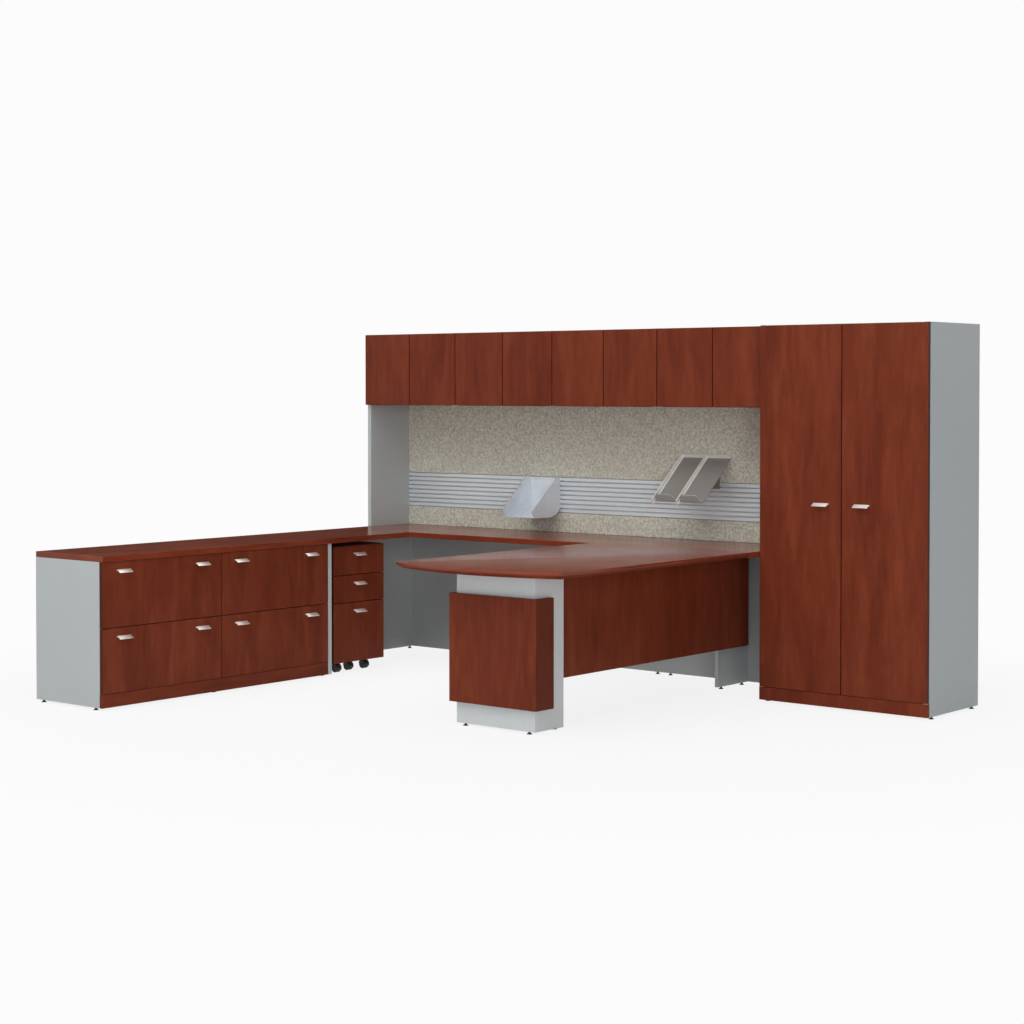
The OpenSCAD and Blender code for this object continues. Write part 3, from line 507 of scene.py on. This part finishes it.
# Faces of a tube, which is a row of rings of points, each ring joined to the next; offset is the
# number of points that stand before the tube in the mesh.
def tubeFaces(rings, count, offset=0):
    i, j = np.meshgrid(np.arange(rings - 1), np.arange(count), indexing="ij")
    nextJ = (j + 1) % count
    corners = [i * count + j, (i + 1) * count + j, (i + 1) * count + nextJ, i * count + nextJ]
    return (np.stack(corners, -1).reshape(-1, 4) + offset).tolist()


# The same tube with one face over its first ring and one over its last.
def closedTube(rings, count, offset=0):
    ring = np.arange(count) + offset
    caps = [ring[::-1].tolist(), (ring + (rings - 1) * count).tolist()]
    return tubeFaces(rings, count, offset) + caps


# One finished piece: its faces are turned outwards and shaded smooth up to an angle, it rides on
# a body, and it stands for the CAD nodes that it replaces.
def addPiece(name, points, faces, material, body, replaced, smoothAngle=40):
    mesh = bpy.data.meshes.new(name)
    mesh.from_pydata(np.asarray(points).reshape(-1, 3).tolist(), [], faces)
    mesh.validate()
    shell = bmesh.new()
    shell.from_mesh(mesh)
    bmesh.ops.recalc_face_normals(shell, faces=shell.faces)
    shell.to_mesh(mesh)
    shell.free()
    mesh.materials.append(material)
    mesh.shade_smooth()
    mesh.set_sharp_from_angle(angle=math.radians(smoothAngle))
    item = bpy.data.objects.new(name, mesh)
    bpy.context.scene.collection.objects.link(item)
    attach(item, body)
    if replaced:
        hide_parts(*replaced)
    return item


# Round a polyline's corner: points on the quadratic curve from one side to the other, which
# start and end reach away from the corner.
def roundCorner(before, corner, after, reach, steps):
    before, corner, after = (np.asarray(p, float) for p in (before, corner, after))
    start = corner + (before - corner) / np.linalg.norm(before - corner) * reach
    end = corner + (after - corner) / np.linalg.norm(after - corner) * reach
    t = np.linspace(0, 1, steps)[:, None]
    return (1 - t) ** 2 * start + 2 * t * (1 - t) * corner + t ** 2 * end


# Peninsula worktop, whose three free edges are cut back below like a knife edge. Its four sides
# and both faces come from the CAD piece.
peninsulaValues = {"bow": 0.105, "band": 0.011, "setback": 0.026, "round": 0.0022, "lip": 0.001,
                   "arcSteps": 48, "roundSteps": 5, "smoothAngle": 30}


# The outline runs from the rear left corner along the left edge, the bow and the right edge to
# the rear; the bow is a circle's arc through both front corners. It is drawn in by a distance,
# and each distance makes one ring.
def peninsulaRings(values, low, high, inset, height):
    inset = inset[:, None]
    width = high[0] - low[0]
    radius = (width * width / 4 + values["bow"] ** 2) / (2 * values["bow"])
    reach = np.arcsin((width / 2 - inset) / (radius - inset))
    angle = reach * np.linspace(-1, 1, values["arcSteps"])
    rear = np.full_like(inset, high[1])
    x = np.hstack([low[0] + inset, (low[0] + high[0]) / 2 + (radius - inset) * np.sin(angle),
                   high[0] - inset])
    y = np.hstack([rear, low[1] + radius - (radius - inset) * np.cos(angle), rear])
    return np.stack([x, y, np.broadcast_to(height[:, None], x.shape)], -1)


# The edge profile is given as pairs of inset and height: a rounded upper edge, a short upright
# band, and the long reverse bevel. The rings run from the top down, so the faces over the first
# and the last one turn the other way round than a closed tube's.
def buildPeninsula(values):
    low, high = nodeBox("peninsula_top")
    roundness, bandFoot = values["round"], high[2] - values["band"]
    turn = np.linspace(0, math.pi / 2, values["roundSteps"])
    rounded = np.column_stack([roundness * (1 - np.sin(turn)),
                               high[2] - roundness * (1 - np.cos(turn))])
    profile = np.concatenate([rounded, [(0.0, bandFoot), (values["lip"], bandFoot - values["lip"]),
                                        (values["setback"], low[2])]])
    rings = peninsulaRings(values, low, high, profile[:, 0], profile[:, 1])
    count = rings.shape[1]
    first, bevelFrom = np.arange(count), (len(rings) - 2) * count
    faces = tubeFaces(len(rings), count)
    faces += [first.tolist(), (first + bevelFrom + count)[::-1].tolist()]
    piece = addPiece("peninsulaTop", rings, faces, leftTopWood, "desk", ["peninsula_top"],
                     values["smoothAngle"])
    piece.data.materials.append(bevelWood)
    zones = np.zeros(len(faces), dtype=np.int32)
    zones[bevelFrom:] = 1
    zones[-2] = 0
    piece.data.polygons.foreach_set("material_index", zones)
    return piece


buildPeninsula(peninsulaValues)
print("peninsula worktop made")


# Middle line of a bent sheet, given by its corner points: each inner corner is rounded.
def bentLine(corners, reach, steps):
    corners = [np.asarray(corner, float) for corner in corners]
    parts = [corners[0][None]]
    for index in range(1, len(corners) - 1):
        parts.append(roundCorner(corners[index - 1], corners[index], corners[index + 1], reach,
                                 steps))
    parts.append(corners[-1][None])
    return np.concatenate(parts)


# Closed section of a sheet: the middle line set off to both sides by half the thickness. Shrink
# draws the section in, which rounds the sheet's cut ends.
def sheetSection(line, thickness, shrink):
    line = line.copy()
    for end, inner in ((0, 1), (-1, -2)):
        inward = line[inner] - line[end]
        line[end] += inward / np.linalg.norm(inward) * shrink
    ahead = np.gradient(line, axis=0)
    ahead /= np.linalg.norm(ahead, axis=1)[:, None]
    side = np.column_stack([-ahead[:, 1], ahead[:, 0]]) * (thickness / 2 - shrink)
    return np.concatenate([line + side, (line - side)[::-1]])


# A bent sheet carried along a straight way: first and second are the directions of the section's
# two parts, along is the way, and place is where the section's origin starts.
def sheetGrid(line, thickness, edge, place, first, second, along, length, offset):
    stations = [(0.0, edge), (edge, 0.0), (length - edge, 0.0), (length, edge)]
    first, second, along = (np.asarray(way, float) for way in (first, second, along))
    rings = []
    for reached, shrink in stations:
        section = sheetSection(line, thickness, shrink)
        rings.append(section[:, :1] * first + section[:, 1:] * second + along * reached
                     + np.asarray(place, float))
    count = len(rings[0])
    faces = tubeFaces(len(rings), count, offset)
    i = np.arange(count // 2 - 1)
    cap = np.stack([i, i + 1, count - 2 - i, count - 1 - i], -1) + offset
    faces += cap[:, ::-1].tolist() + (cap + (len(rings) - 1) * count).tolist()
    return np.concatenate(rings), faces


# A flat-sided bar along x: a section of points across and up, carried from one place to another.
def barGrid(section, start, end, offset):
    section = np.asarray(section, float)
    rings = [np.column_stack([np.full(len(section), x), section]) for x in (start, end)]
    return np.concatenate(rings), closedTube(2, len(section), offset)


# Corners of a box's section, from its two reaches across and its two reaches up.
def boxSection(across, up):
    return [(across[0], up[0]), (across[1], up[0]), (across[1], up[1]), (across[0], up[1])]


# Pulls: a plate bent over a drawer's or door's face, with a short root and a sloping tab. Their
# places come from the CAD pulls; a lateral drawer has one at each end of its CAD piece.
pullValues = {"width": 0.082, "out": 0.025, "drop": 0.016, "thick": 0.003, "root": 0.010,
              "bend": 0.0036, "edge": 0.0007, "bendSteps": 7, "smoothAngle": 50}


# The section's parts are outwards from the face and upwards from the root's upper edge.
def pullLine(values):
    half = values["thick"] / 2
    slope = math.atan2(values["drop"], values["out"])
    root = (half, -values["root"])
    corner = (half, -half / math.cos(slope) - half * math.tan(slope))
    tip = (values["out"] - half * math.sin(slope), -values["drop"] - half * math.cos(slope))
    return bentLine([root, corner, tip], values["bend"], values["bendSteps"])


# The bent section is carried along the face by the pull's width, from each starting corner. Along
# is the outward direction turned a quarter.
def buildPulls(name, outward, material, body, values=pullValues):
    low, high = nodeBox(name)
    outward = np.array(outward)
    along = np.array([-outward[1], outward[0], 0.0])
    face = np.where(outward > 0, low, high)
    points, faces = [], []
    starts = [low, high - along * values["width"]]
    if np.dot(high - low, np.abs(along)) < 2 * values["width"]:
        starts = starts[:1]
    for start in starts:
        place = np.where(np.abs(outward) > 0, face, start)
        place[2] = high[2]
        grid, made = sheetGrid(pullLine(values), values["thick"], values["edge"], place, outward,
                               (0, 0, 1), np.abs(along), values["width"],
                               sum(len(part) for part in points))
        points.append(grid)
        faces += made
    piece = addPiece(name + "Shape", np.concatenate(points), faces, material, body, [name],
                     values["smoothAngle"])


for name in sorted(nodes):
    if name.endswith("_pulls"):
        buildPulls(name, (1.0, 0.0, 0.0), nickel, name.replace("_pulls", "_drawer"))
    elif name.endswith("_pull"):
        buildPulls(name, (1.0, 0.0, 0.0), nickel, name.replace("_pull", "_body"))
    elif name.startswith("tower_pull"):
        buildPulls(name, (0.0, -1.0, 0.0), nickelAcrossLit, name.replace("_pull", ""))
print("pulls made")


# Paper trays: a sheet bent up into a lip below, with a bright rim along its left and upper edges
# that reaches out a little past the fold. The slope runs between two heights, given as shares of
# the room over the worktop. The lip narrows upwards: each point on it moves inwards by a share of
# the mitre that grows with its height.
trayValues = {"lowShare": 0.2981, "highShare": 0.6177, "out": 0.262, "lip": 0.055,
              "flange": 0.028, "returned": 0.0065, "reachOut": 0.016, "thick": 0.002,
              "mitreLeft": 0.03, "mitreRight": 0.02,
              "bend": 0.005, "edge": 0.0005, "bendSteps": 6,
              "rimThick": 0.0026, "gap": 0.0003, "bracketIn": 0.02, "bracketWide": 0.06,
              "gussetThick": 0.0025, "gussetOut": 0.11, "gussetDrop": 0.074, "bracketDrop": 0.01,
              "groove": 7, "slatCount": 8, "hookWide": 0.056, "hookThick": 0.002,
              "hookIn": 0.014, "footHigh": 0.0105, "footDeep": 0.003,
              "lipWithin": 1.05, "bracketAngle": 30}


def buildTray(name, body, values):
    low, high = nodeBox(name)
    wall = nodeBox("tackboards")[0][1]
    top, roof = nodeBox("peninsula_top")[1][2], nodeBox("overhead_case")[0][2]
    foot = top + values["lowShare"] * (roof - top)
    head = top + values["highShare"] * (roof - top)
    slope = math.atan2(head - foot, values["out"])
    length = math.hypot(head - foot, values["out"])
    upSlope = np.array([0.0, math.cos(slope), math.sin(slope)])
    offSlope = np.array([0.0, -math.sin(slope), math.cos(slope)])
    place = np.array([low[0], wall - values["out"], foot])
    half = values["thick"] / 2
    width = high[0] - low[0]

    # Bed and lip.
    bed = bentLine([(half, values["lip"]), (half, half), (length - values["thick"], half)],
                   values["bend"], values["bendSteps"])
    grid, faces = sheetGrid(bed, values["thick"], values["edge"],
                            place + [values["returned"], 0, 0], upSlope, offSlope, (1, 0, 0),
                            width - values["returned"], 0)
    onLip = (grid - place) @ upSlope < values["thick"] * values["lipWithin"]
    height = np.where(onLip, (grid - place) @ offSlope, 0.0) / values["lip"]
    across = (grid[:, 0] - low[0]) / width
    grid[:, 0] += height * (values["mitreLeft"] * (1 - across) - values["mitreRight"] * across)
    bedPiece = addPiece(name + "Bed", grid, faces, trayBed, body, [name])
    # The lip's faces take the lighter lip colour, painted light on a face that lies in shade.
    bedPiece.data.materials.append(trayLip)
    zones = onLip[np.array(faces)].all(1).astype(np.int32)
    bedPiece.data.polygons.foreach_set("material_index", zones)

    # Bracket behind the bed: a plate, two gussets, and a hook with its foot in the rail's groove.
    apex = head - values["thick"] * math.tan(slope)
    rail = nodeBox("slat_rail")
    groove = rail[0][2] + values["groove"] * (rail[1][2] - rail[0][2]) / values["slatCount"]
    bottom = min(groove, apex - values["gussetDrop"]) - values["bracketDrop"]
    back = wall - values["gap"]
    plate = back - values["thick"]
    left = low[0] + values["bracketIn"]
    right = left + values["bracketWide"]
    middle = (left + right) / 2
    gusset = [(plate, apex), (plate - values["gussetOut"],
                              apex - values["gussetOut"] * math.tan(slope)),
              (plate, apex - values["gussetDrop"])]
    hookBack = wall + values["hookIn"]
    bars = [(boxSection((plate, back), (bottom, apex)), left, right),
            (gusset, left, left + values["gussetThick"]),
            (gusset, right - values["gussetThick"], right),
            (boxSection((back, hookBack), (groove - values["hookThick"] / 2,
                                           groove + values["hookThick"] / 2)),
             middle - values["hookWide"] / 2, middle + values["hookWide"] / 2),
            (boxSection((hookBack, hookBack + values["footDeep"]),
                        (groove - values["footHigh"] / 2, groove + values["footHigh"] / 2)),
             middle - values["hookWide"] / 2, middle + values["hookWide"] / 2)]
    points, faces = [], []
    for section, start, end in bars:
        grid, made = barGrid(section, start, end, sum(len(part) for part in points))
        points.append(grid)
        faces += made
    bracket = addPiece(name + "Bracket", np.concatenate(points), faces, trayBed, body, [],
                       values["bracketAngle"])
    soften(bracket, bevelValues["metal"])

    # Bright rims: a channel along the side and an angle along the head.
    inset = values["rimThick"] / 2
    channel = [(values["returned"], inset), (inset, inset), (inset, values["flange"] - inset),
               (values["returned"], values["flange"] - inset)]
    sideLine = bentLine(channel, values["rimThick"], values["bendSteps"])
    rimLine = bentLine([(inset, 0.0)] + channel[2:], values["rimThick"], values["bendSteps"])
    grid, faces = sheetGrid(sideLine, values["rimThick"], values["edge"],
                            place - upSlope * values["reachOut"], (1, 0, 0), offSlope, upSlope,
                            length + values["reachOut"], 0)
    headGrid, headFaces = sheetGrid(rimLine, values["rimThick"], values["edge"],
                                    place + upSlope * length, -upSlope, offSlope, (1, 0, 0),
                                    width, len(grid))
    rimPiece = addPiece(name + "Rim", np.concatenate([grid, headGrid]), faces + headFaces,
                        trayRim, body, [])


buildTray("paper_tray_left", "left_tray", trayValues)
buildTray("paper_tray_right", "right_tray", trayValues)
print("trays made")


# Casters: twin wheels under a hood, on a neck below a round plate. A wheel's rows go from its
# inner hub out round the tread to its dished outer face: each is a share of the radius, the face
# that it is measured from (0 inner, 1 outer), and the step from there. The web's rows are places
# behind the axis and over the floor.
casterValues = {
    "trail": 0.016, "radius": 0.023, "wheel": 0.013, "gap": 0.0033, "turns": 40, "pole": 0.0002,
    "wheelRows": ((0.0, 0, 0.0), (0.9, 0, 0.0), (0.97, 0, 0.0008), (1.0, 0, 0.0026),
                  (1.0, 1, -0.0036), (0.97, 1, -0.0014), (0.88, 1, -0.0003), (0.8, 1, 0.0),
                  (0.74, 1, -0.0016), (0.3, 1, -0.0022), (0.24, 1, -0.0008), (0.0, 1, -0.0004)),
    "hoodGap": 0.0012, "hoodThick": 0.0016, "hoodFrom": -20, "hoodTo": 170, "hoodSteps": 30,
    "edgeOut": 0.0006, "edgeIn": 0.0008,
    "webRows": ((-0.026, 0.020), (0.004, 0.020), (0.008, 0.040), (0.008, 0.0475),
                (-0.024, 0.0475), (-0.032, 0.036)),
    "webHalf": 0.0029,
    "plateTop": 0.0558, "plateRadius": 0.019, "plateThick": 0.003,
    "neckRadius": 0.009, "neckFrom": 0.0468, "neckBelow": 0.006, "flare": 0.002,
}


# Points of a lathe shape: each profile row is a distance from the axis and a place along it. The
# axis is Y for a wheel and Z for an upright shape.
def lathePoints(profile, centre, turns, upright=False):
    radius, along = np.asarray(profile, float).T[:, :, None]
    angle = np.linspace(0, 2 * math.pi, turns, endpoint=False)
    first, second = radius * np.cos(angle), radius * np.sin(angle)
    along = np.broadcast_to(along, first.shape)
    ways = (first, second, along) if upright else (first, along, second)
    return np.stack(ways, -1) + np.asarray(centre, float)


def wheelProfile(values, side):
    share, face, step = np.array(values["wheelRows"]).T
    radius = np.maximum(share * values["radius"], values["pole"])
    along = (values["gap"] + face * values["wheel"] + step) * side
    return np.column_stack([radius, along])[::side]


# A caster's upright axis at the height of its axle: the plate is round, so it ends one radius
# ahead of the axis.
def casterPlace(values, number):
    low, high = nodeBox("caster_fork_" + number)
    return np.array([high[0] - values["plateRadius"], (low[1] + high[1]) / 2, values["radius"]])


# Both wheels are one profile turned about the axle, mirrored for the second, and they trail
# behind the upright axis.
def buildWheels(values, number):
    centre = casterPlace(values, number) - np.array([values["trail"], 0.0, 0.0])
    points, faces = [], []
    turns = values["turns"]
    for side in (1, -1):
        rings = lathePoints(wheelProfile(values, side), centre, turns)
        offset = sum(len(part) for part in points)
        points.append(rings.reshape(-1, 3))
        faces += closedTube(len(rings), turns, offset)
    piece = addPiece("casterWheels" + number, np.concatenate(points), faces, blackPlastic,
                     "wheels_" + number, ["caster_wheels_" + number])


# The hood is a shell of two arcs about the wheels' axle, as wide as both wheels. A web stands
# between the wheels, and the neck and plate are a lathe shape about the upright axis.
def buildFork(values, number):
    place = casterPlace(values, number)
    centre = place - np.array([values["trail"], 0.0, 0.0])
    inner = values["radius"] + values["hoodGap"]
    outer = inner + values["hoodThick"]
    half = values["gap"] + values["wheel"]
    edgeOut, edgeIn, steps = values["edgeOut"], values["edgeIn"], values["hoodSteps"]
    angle = np.radians(np.linspace(values["hoodFrom"], values["hoodTo"], steps))[:, None]
    section = np.array([[inner, -half], [inner, half], [outer - edgeOut, half],
                        [outer, half - edgeIn], [outer, -half + edgeIn], [outer - edgeOut, -half]])
    hood = np.stack([centre[0] + section[:, 0] * np.cos(angle),
                     np.broadcast_to(centre[1] + section[:, 1], (steps, len(section))),
                     centre[2] + section[:, 0] * np.sin(angle)], -1)
    rows = np.array(values["webRows"])
    web = np.stack([np.column_stack([place[0] + rows[:, 0],
                                     np.full(len(rows), place[1] + side * values["webHalf"]),
                                     rows[:, 1]]) for side in (-1, 1)])
    neck, plate, pole = values["neckRadius"], values["plateRadius"], values["pole"]
    top, under = values["plateTop"], values["plateTop"] - values["plateThick"]
    profile = [(pole, values["neckFrom"]), (neck, values["neckFrom"]),
               (neck, top - values["neckBelow"]), (neck + values["flare"], under - edgeOut),
               (plate - edgeIn, under), (plate, under + edgeIn), (plate, top), (pole, top)]
    column = lathePoints(profile, (place[0], place[1], 0.0), values["turns"], True)
    points, faces = [], []
    for part in (hood, web, column):
        faces += closedTube(*part.shape[:2], sum(len(made) for made in points))
        points.append(part.reshape(-1, 3))
    piece = addPiece("casterHood" + number, np.concatenate(points), faces, blackPlastic,
                     "caster_" + number, ["caster_fork_" + number])


for name in sorted(nodes):
    if name.startswith("caster_fork_"):
        buildWheels(casterValues, name[-1])
        buildFork(casterValues, name[-1])
print("casters made")


# Levelling glides: a flared pad on a nut and a threaded stem, one under each glide of the CAD
# piece, whose pads are found by their lowest points.
glideValues = {"pad": 0.013, "padHigh": 0.0045, "neck": 0.0062, "neckHigh": 0.0085, "stem": 0.005,
               "top": 0.012, "lip": 0.0006, "flare": 1.15, "pole": 0.0002, "turns": 28,
               "gather": 2.2, "smoothAngle": 35}


# Centres of the pads: each lowest point is gathered with those within a pad's width of it.
def glidePlaces(values):
    item = nodes["levelling_glides"]
    points = np.empty(len(item.data.vertices) * 3)
    item.data.vertices.foreach_get("co", points)
    points = points.reshape(-1, 3)
    left = points[points[:, 2] < values["lip"], :2]
    places = []
    while len(left):
        near = np.linalg.norm(left - left[0], axis=1) < values["gather"] * values["pad"]
        places.append((left[near].min(0) + left[near].max(0)) / 2)
        left = left[~near]
    return np.array(places)


# One lathe profile of radius and height pairs, turned about every place at once.
def buildGlides(values):
    pad, neck, lip = values["pad"], values["neck"], values["lip"]
    profile = [(values["pole"], 0.0), (pad - lip, 0.0), (pad, lip), (pad, 2 * lip),
               (neck * values["flare"], values["padHigh"]), (neck, values["padHigh"] + lip),
               (neck, values["neckHigh"]), (values["stem"], values["neckHigh"] + lip),
               (values["stem"], values["top"]), (values["pole"], values["top"])]
    shape = lathePoints(profile, (0.0, 0.0, 0.0), values["turns"], True)
    places = glidePlaces(values)
    points = shape + np.column_stack([places, np.zeros(len(places))])[:, None, None]
    faces = []
    for index in range(len(places)):
        faces += closedTube(*shape.shape[:2], index * len(profile) * values["turns"])
    piece = addPiece("glides", points, faces, blackPlastic, "desk", ["levelling_glides"],
                     values["smoothAngle"])
    print("glides made:", len(places))


buildGlides(glideValues)


# Studio: a pale floor that fades to white away from the desk, a white world for the camera, soft
# lights above and in front, and a dark flag that keeps glare off the left worktop.
stageValues = {
    "white": (0.973, 0.973, 0.973, 1.0),
    "floorColour": (0.9, 0.9, 0.9, 1.0),
    "floorSide": 160,
    "floorShare": 0.88,
    "fadeFrom": 1.8,
    "fadeTo": 4.2,
    "worldStrength": 0.04,
    "flagColour": linear(70, 66, 64),
    "flagFrom": (-6.5, 0.0),
    "flagTo": (-2.4, 4.6),
    "flagHigh": 3.0,
}
bpy.ops.mesh.primitive_plane_add(size=stageValues["floorSide"], location=(0, 0, 0))
floor = bpy.context.object
floor.name = "studioFloor"
floorMaterial, floorTree, floorShader = newMaterial("studioFloor")
setInputs(floorTree, floorShader, {"Base Color": stageValues["floorColour"], "Roughness": 0.9,
                                   "Specular IOR Level": 0.0})


# How far a ray is one that should see white: camera, glossy and transmission rays are.
def whiteRays(tree):
    path = addNode(tree, "ShaderNodeLightPath").outputs
    seen = addMath(tree, "MAXIMUM", path["Is Camera Ray"], path["Is Glossy Ray"])
    return addMath(tree, "MAXIMUM", seen, path["Is Transmission Ray"])


floorDistance = addNode(floorTree, "ShaderNodeVectorMath", {"operation": "LENGTH"},
                        {0: objectPosition(floorTree)}).outputs["Value"]
floorFade = addNode(floorTree, "ShaderNodeMapRange",
                    {"interpolation_type": "SMOOTHSTEP", "clamp": True},
                    {0: floorDistance, 1: stageValues["fadeFrom"], 2: stageValues["fadeTo"],
                     3: stageValues["floorShare"], 4: 1.0}).outputs[0]
floorGlow = addNode(floorTree, "ShaderNodeEmission", None, {"Color": stageValues["white"]})
floorMix = addNode(floorTree, "ShaderNodeMixShader", None,
                   {0: addMath(floorTree, "MULTIPLY", floorFade, whiteRays(floorTree)),
                    1: floorShader.outputs[0], 2: floorGlow.outputs[0]})
floorTree.links.new(floorMix.outputs[0], floorTree.nodes["Material Output"].inputs["Surface"])
floor.data.materials.append(floorMaterial)

world = bpy.data.worlds.new("studio")
world.use_nodes = True
bpy.context.scene.world = world
worldTree = world.node_tree
background = worldTree.nodes["Background"]
strength = mapRange(worldTree, whiteRays(worldTree), 0.0, 1.0, stageValues["worldStrength"], 1.0)
background.inputs["Color"].default_value = stageValues["white"]
worldTree.links.new(strength, background.inputs["Strength"])

flagMesh = bpy.data.meshes.new("studioFlag")
flagLine = np.array([stageValues["flagFrom"], stageValues["flagTo"]])
flagFoot = np.column_stack([flagLine, np.zeros(2)])
flagHead = flagFoot[::-1] + [0.0, 0.0, stageValues["flagHigh"]]
flagMesh.from_pydata(np.concatenate([flagFoot, flagHead]).tolist(), [], [[0, 1, 2, 3]])
flag = bpy.data.objects.new("studioFlag", flagMesh)
bpy.context.scene.collection.objects.link(flag)
flagMaterial, flagTree, flagShader = newMaterial("studioFlag")
setInputs(flagTree, flagShader, {"Base Color": stageValues["flagColour"], "Roughness": 1.0,
                                 "Specular IOR Level": 0.0})
flagMesh.materials.append(flagMaterial)
flag.visible_camera = False


def addLight(name, place, target, size, power):
    light = bpy.data.lights.new(name, "AREA")
    light.shape = "RECTANGLE"
    light.size, light.size_y = size
    light.energy = power
    item = bpy.data.objects.new(name, light)
    bpy.context.scene.collection.objects.link(item)
    item.location = place
    item.rotation_mode = "QUATERNION"
    item.rotation_quaternion = (Vector(target) - Vector(place)).to_track_quat("-Z", "Y")
    item.visible_camera = False
    return item


# Each lamp has its place, the point that it looks at, its two sides and its power.
lampValues = {
    "keyLight": ((0.0, -1.0, 6.5), (0.0, 0.0, 0.0), (9.0, 8.0), 315.0),
    "frontTopLight": ((0.0, -5.0, 6.0), (0.0, 0.0, 0.3), (9.0, 5.0), 215.0),
    "cameraLight": ((7.0, -7.0, 2.2), (0.0, 0.0, 0.8), (4.0, 3.0), 225.0),
    "cameraLowLight": ((6.5, -6.5, 0.6), (0.0, 0.3, 0.4), (5.0, 1.0), 85.0),
    "leftLight": ((-8.0, -4.0, 3.0), (0.0, 0.0, 0.7), (5.0, 3.0), 28.0),
    "backLight": ((0.0, 8.0, 4.0), (0.0, 1.0, 0.8), (8.0, 4.0), 240.0),
}
for name, (place, aim, sides, power) in lampValues.items():
    addLight(name, place, aim, sides, power)


# The camera stands where the photo's perspective puts it: turned yaw from +Y towards -X and
# tilted down by pitch. The focal length and the height of its axis are in pixels of the picture.
cameraValues = {
    "place": (6.344915, -7.643735, 1.53216),
    "yaw": 39.42707,
    "pitch": 1.31502,
    "picture": 1024,
    "focal": 2054.215,
    "axisHeight": 435.807,
    "sensor": 36.0,
    "clipEnd": 200.0,
}
camera = bpy.data.cameras.new("photoCamera")
cameraItem = bpy.data.objects.new("photoCamera", camera)
bpy.context.scene.collection.objects.link(cameraItem)
bpy.context.scene.camera = cameraItem
yaw, pitch = math.radians(cameraValues["yaw"]), math.radians(cameraValues["pitch"])
direction = Vector((-math.sin(yaw) * math.cos(pitch), math.cos(yaw) * math.cos(pitch),
                    -math.sin(pitch)))
camera.sensor_width = cameraValues["sensor"]
camera.lens = cameraValues["sensor"] * cameraValues["focal"] / cameraValues["picture"]
camera.shift_y = cameraValues["axisHeight"] / cameraValues["picture"] - 0.5
cameraItem.location = cameraValues["place"]
cameraItem.rotation_mode = "QUATERNION"
cameraItem.rotation_quaternion = direction.to_track_quat("-Z", "Y")
camera.clip_end = cameraValues["clipEnd"]
bpy.context.scene.view_settings.view_transform = "Standard"
print("stage set")
